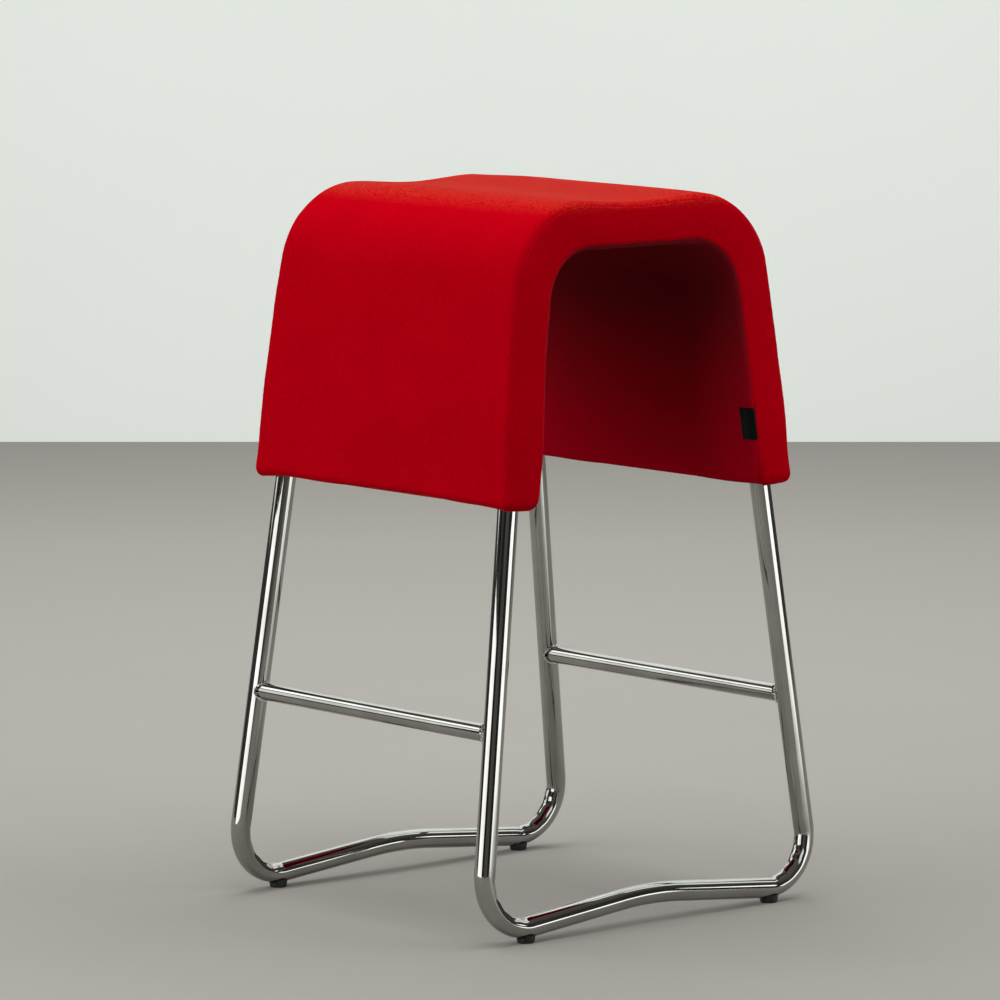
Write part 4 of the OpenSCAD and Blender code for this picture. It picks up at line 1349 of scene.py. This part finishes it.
# %% [markdown]
# Chrome needs shapes to mirror. In the photograph each leg shows two clean bright lines on a dark
# ground: one mirrors something low, bright and close on the left, the other something low on the
# right. So a bright card stands in each of those places. Windows higher up and further round
# give the bars and runners their lines, window light gleams on the floor at the right, and a dim
# card behind the camera, a dim ceiling and a dark screen all round stand for the rest of a room.
# They glow only in mirrors: they light nothing, hide nothing and cast no shadow. That leaves the
# lamps free to be large and soft.

# %% Finishes of what the chrome mirrors
def glow_finish(name, low, high, size_mm):
    """A glow that drifts between two levels from place to place."""
    material, shader, start = new_finish(name, {"Roughness": 1.0, "Specular IOR Level": 0.0,
                                                "Base Color": colour(0, 0, 0),
                                                "Emission Strength": 1.0})
    place = start.node("TexCoord", output=3) * (1.0, 1.0, 0.3)
    drift = noise(start, place, size_mm, 2).spread(0.4, 0.6)
    feed(drift.blend(low, high), shader, "Emission Color")
    return material


GLEAM_FROM, GLEAM_FULL = 350, 2100


def gleam_finish():
    """Window light on a smooth floor, that grows brighter away from the stool."""
    material, shader, start = new_finish("floor_gleam", {"Base Color": colour(0, 0, 0),
                                                         "Specular IOR Level": 0.0,
                                                         "Emission Strength": 1.0})
    place = start.node("TexCoord", output=3)
    away = start.node("VectorMath", {"operation": "LENGTH"}, {0: place}, output=1)
    light = away.spread(GLEAM_FROM * MM, GLEAM_FULL * MM).blend(
        colour(0.30, 0.29, 0.265), colour(2.4, 2.45, 2.4))
    feed(light, shader, "Emission Color")
    return material


dark = glow_finish("dark_screen", colour(0.025, 0.025, 0.025), colour(0.085, 0.083, 0.078), 1500)
bright = glow_finish("bright_card", colour(2.4, 2.4, 2.4), colour(2.9, 2.9, 2.9), 900)
window = glow_finish("window_card", colour(1.2, 1.25, 1.2), colour(1.7, 1.75, 1.7), 500)
dim = glow_finish("dim_card", colour(0.10, 0.10, 0.09), colour(0.20, 0.195, 0.18), 700)

# %% [markdown]
# Each upright card is a line on the floor, its top, its bottom and its finish. The screen is a
# long bent sheet that leaves a gap behind the stool, where the wall stands.

# %% Cards, windows and a screen for the chrome
SCREEN_R = 4200
SCREEN_H = 3600
SCREEN_TURN = 158
SCREEN_STEPS = 97
CEILING_HALF = 4300
GLEAM_LEFT, GLEAM_RIGHT, GLEAM_END = 44, 81, 3300


def around(degrees, distance, up):
    """A place round the stool, at an angle from the camera towards its right."""
    turn = math.radians(degrees)
    return studio_point(distance * math.sin(turn), -distance * math.cos(turn), up)


def only_in_mirrors(made):
    """Hides a part of the studio from everything but mirrors."""
    made.visible_camera = made.visible_diffuse = made.visible_shadow = False
    made.visible_transmission = made.visible_volume_scatter = False


screen = [around(degrees, SCREEN_R, up) for up in (0, SCREEN_H)
          for degrees in np.linspace(-SCREEN_TURN, SCREEN_TURN, SCREEN_STEPS)]
only_in_mirrors(stage_sheet("dark_screen", screen, dark, grid_faces(2, SCREEN_STEPS)))
for name, start, end, top, bottom, finish in (
        ("left_card", (-1131, -399), (-682, -1173), 400, 0, bright),
        ("far_card", (2290, -2370), (3260, -516), 450, 0, bright),
        ("room_card", (-830, -3900), (1200, -3700), 2500, 0, dim),
        ("front_window", (418, -2970), (1763, -2427), 2300, 1250, window),
        ("left_window", (-2980, 260), (-2360, 1850), 1400, 420, window),
        ("high_left_window", (-2980, 260), (-2360, 1850), 2350, 1650, bright),
        ("right_window", (2990, -210), (2990, 50), 1120, 720, bright),
        ("right_back_window", (2410, 975), (855, 2350), 3700, 1100, window),
        ("left_back_window", (855, 2350), (-1434, 2048), 2700, 1160, window)):
    only_in_mirrors(stage_sheet(name, upright(start, end, top, bottom), finish))
gleam = [around(degrees, distance, 1)
         for degrees, distance in ((GLEAM_LEFT, GLEAM_FROM), (GLEAM_LEFT, GLEAM_END),
                                   (GLEAM_RIGHT, GLEAM_END), (GLEAM_RIGHT, GLEAM_FROM))]
only_in_mirrors(stage_sheet("floor_gleam", gleam, gleam_finish()))
only_in_mirrors(stage_sheet("ceiling", level(CEILING_HALF, SCREEN_H), dim))

# %% [markdown]
# The light itself comes from four large, soft lamps: one overhead, two on the left and one on the
# right. Mirrors don't show them, because the cards already are what the chrome should show. Each
# lamp is given as the brightness of its panel, which its area turns into watts, so a panel can
# change its size and keep its look. The overhead lamp points straight down at the stool, and the
# others point level at its middle line.

# %% Lamps
LAMP_AWAY = 3000
LAMP_MIDDLE = 1400


def softbox(name, place, aim, width, height, glow):
    """A large flat lamp with a given brightness, aimed at a point, that mirrors don't show."""
    lamp = bpy.data.lights.new(name, "AREA")
    lamp.shape, lamp.size, lamp.size_y = "RECTANGLE", width * MM, height * MM
    lamp.energy = glow * math.pi * lamp.size * lamp.size_y
    made = bpy.data.objects.new(name, lamp)
    made.location = place * MM
    made.rotation_euler = (aim - place).to_track_quat("-Z", "Y").to_euler()
    made.visible_glossy = False
    bpy.context.scene.collection.objects.link(made)


softbox("sky_panel", studio_point(0, 300, 3400), studio_point(0, 300, 0), 4200, 4200, 2.7)
for name, degrees, width, glow in (("left_panel", -50, 2200, 2.1), ("side_panel", -86, 2000, 1.35),
                                   ("right_panel", 72, 1800, 2.65)):
    softbox(name, around(degrees, LAMP_AWAY, LAMP_MIDDLE), Vector((0, 0, LAMP_MIDDLE)),
            width, 2800, glow)

# %% [markdown]
# The world fills the shadows with a very faint light. The camera and the chrome see a pale sky in
# its place wherever nothing else stands, by the same sum of rays as the floor and the wall. The
# Standard view shows every colour as it was written.

# %% The world's light
world = bpy.data.worlds.new("studio")
bpy.context.scene.world = world
world.use_nodes = True
sky = Wire(world.node_tree)
faint = world.node_tree.nodes["Background"]
faint.inputs["Color"].default_value = colour(0.9, 0.95, 1.0)
faint.inputs["Strength"].default_value = 0.035
pale = sky.node("Background", None, {"Color": colour(0.80, 0.84, 0.80), "Strength": 1.0})
both = sky.node("MixShader", None, {0: seen_rays(sky), 1: Wire(sky.tree, faint.outputs[0]),
                                    2: pale})
sky.tree.links.new(both.socket, sky.tree.nodes["World Output"].inputs["Surface"])
bpy.context.scene.view_settings.view_transform = "Standard"
print("the world has", len(sky.tree.nodes), "nodes")
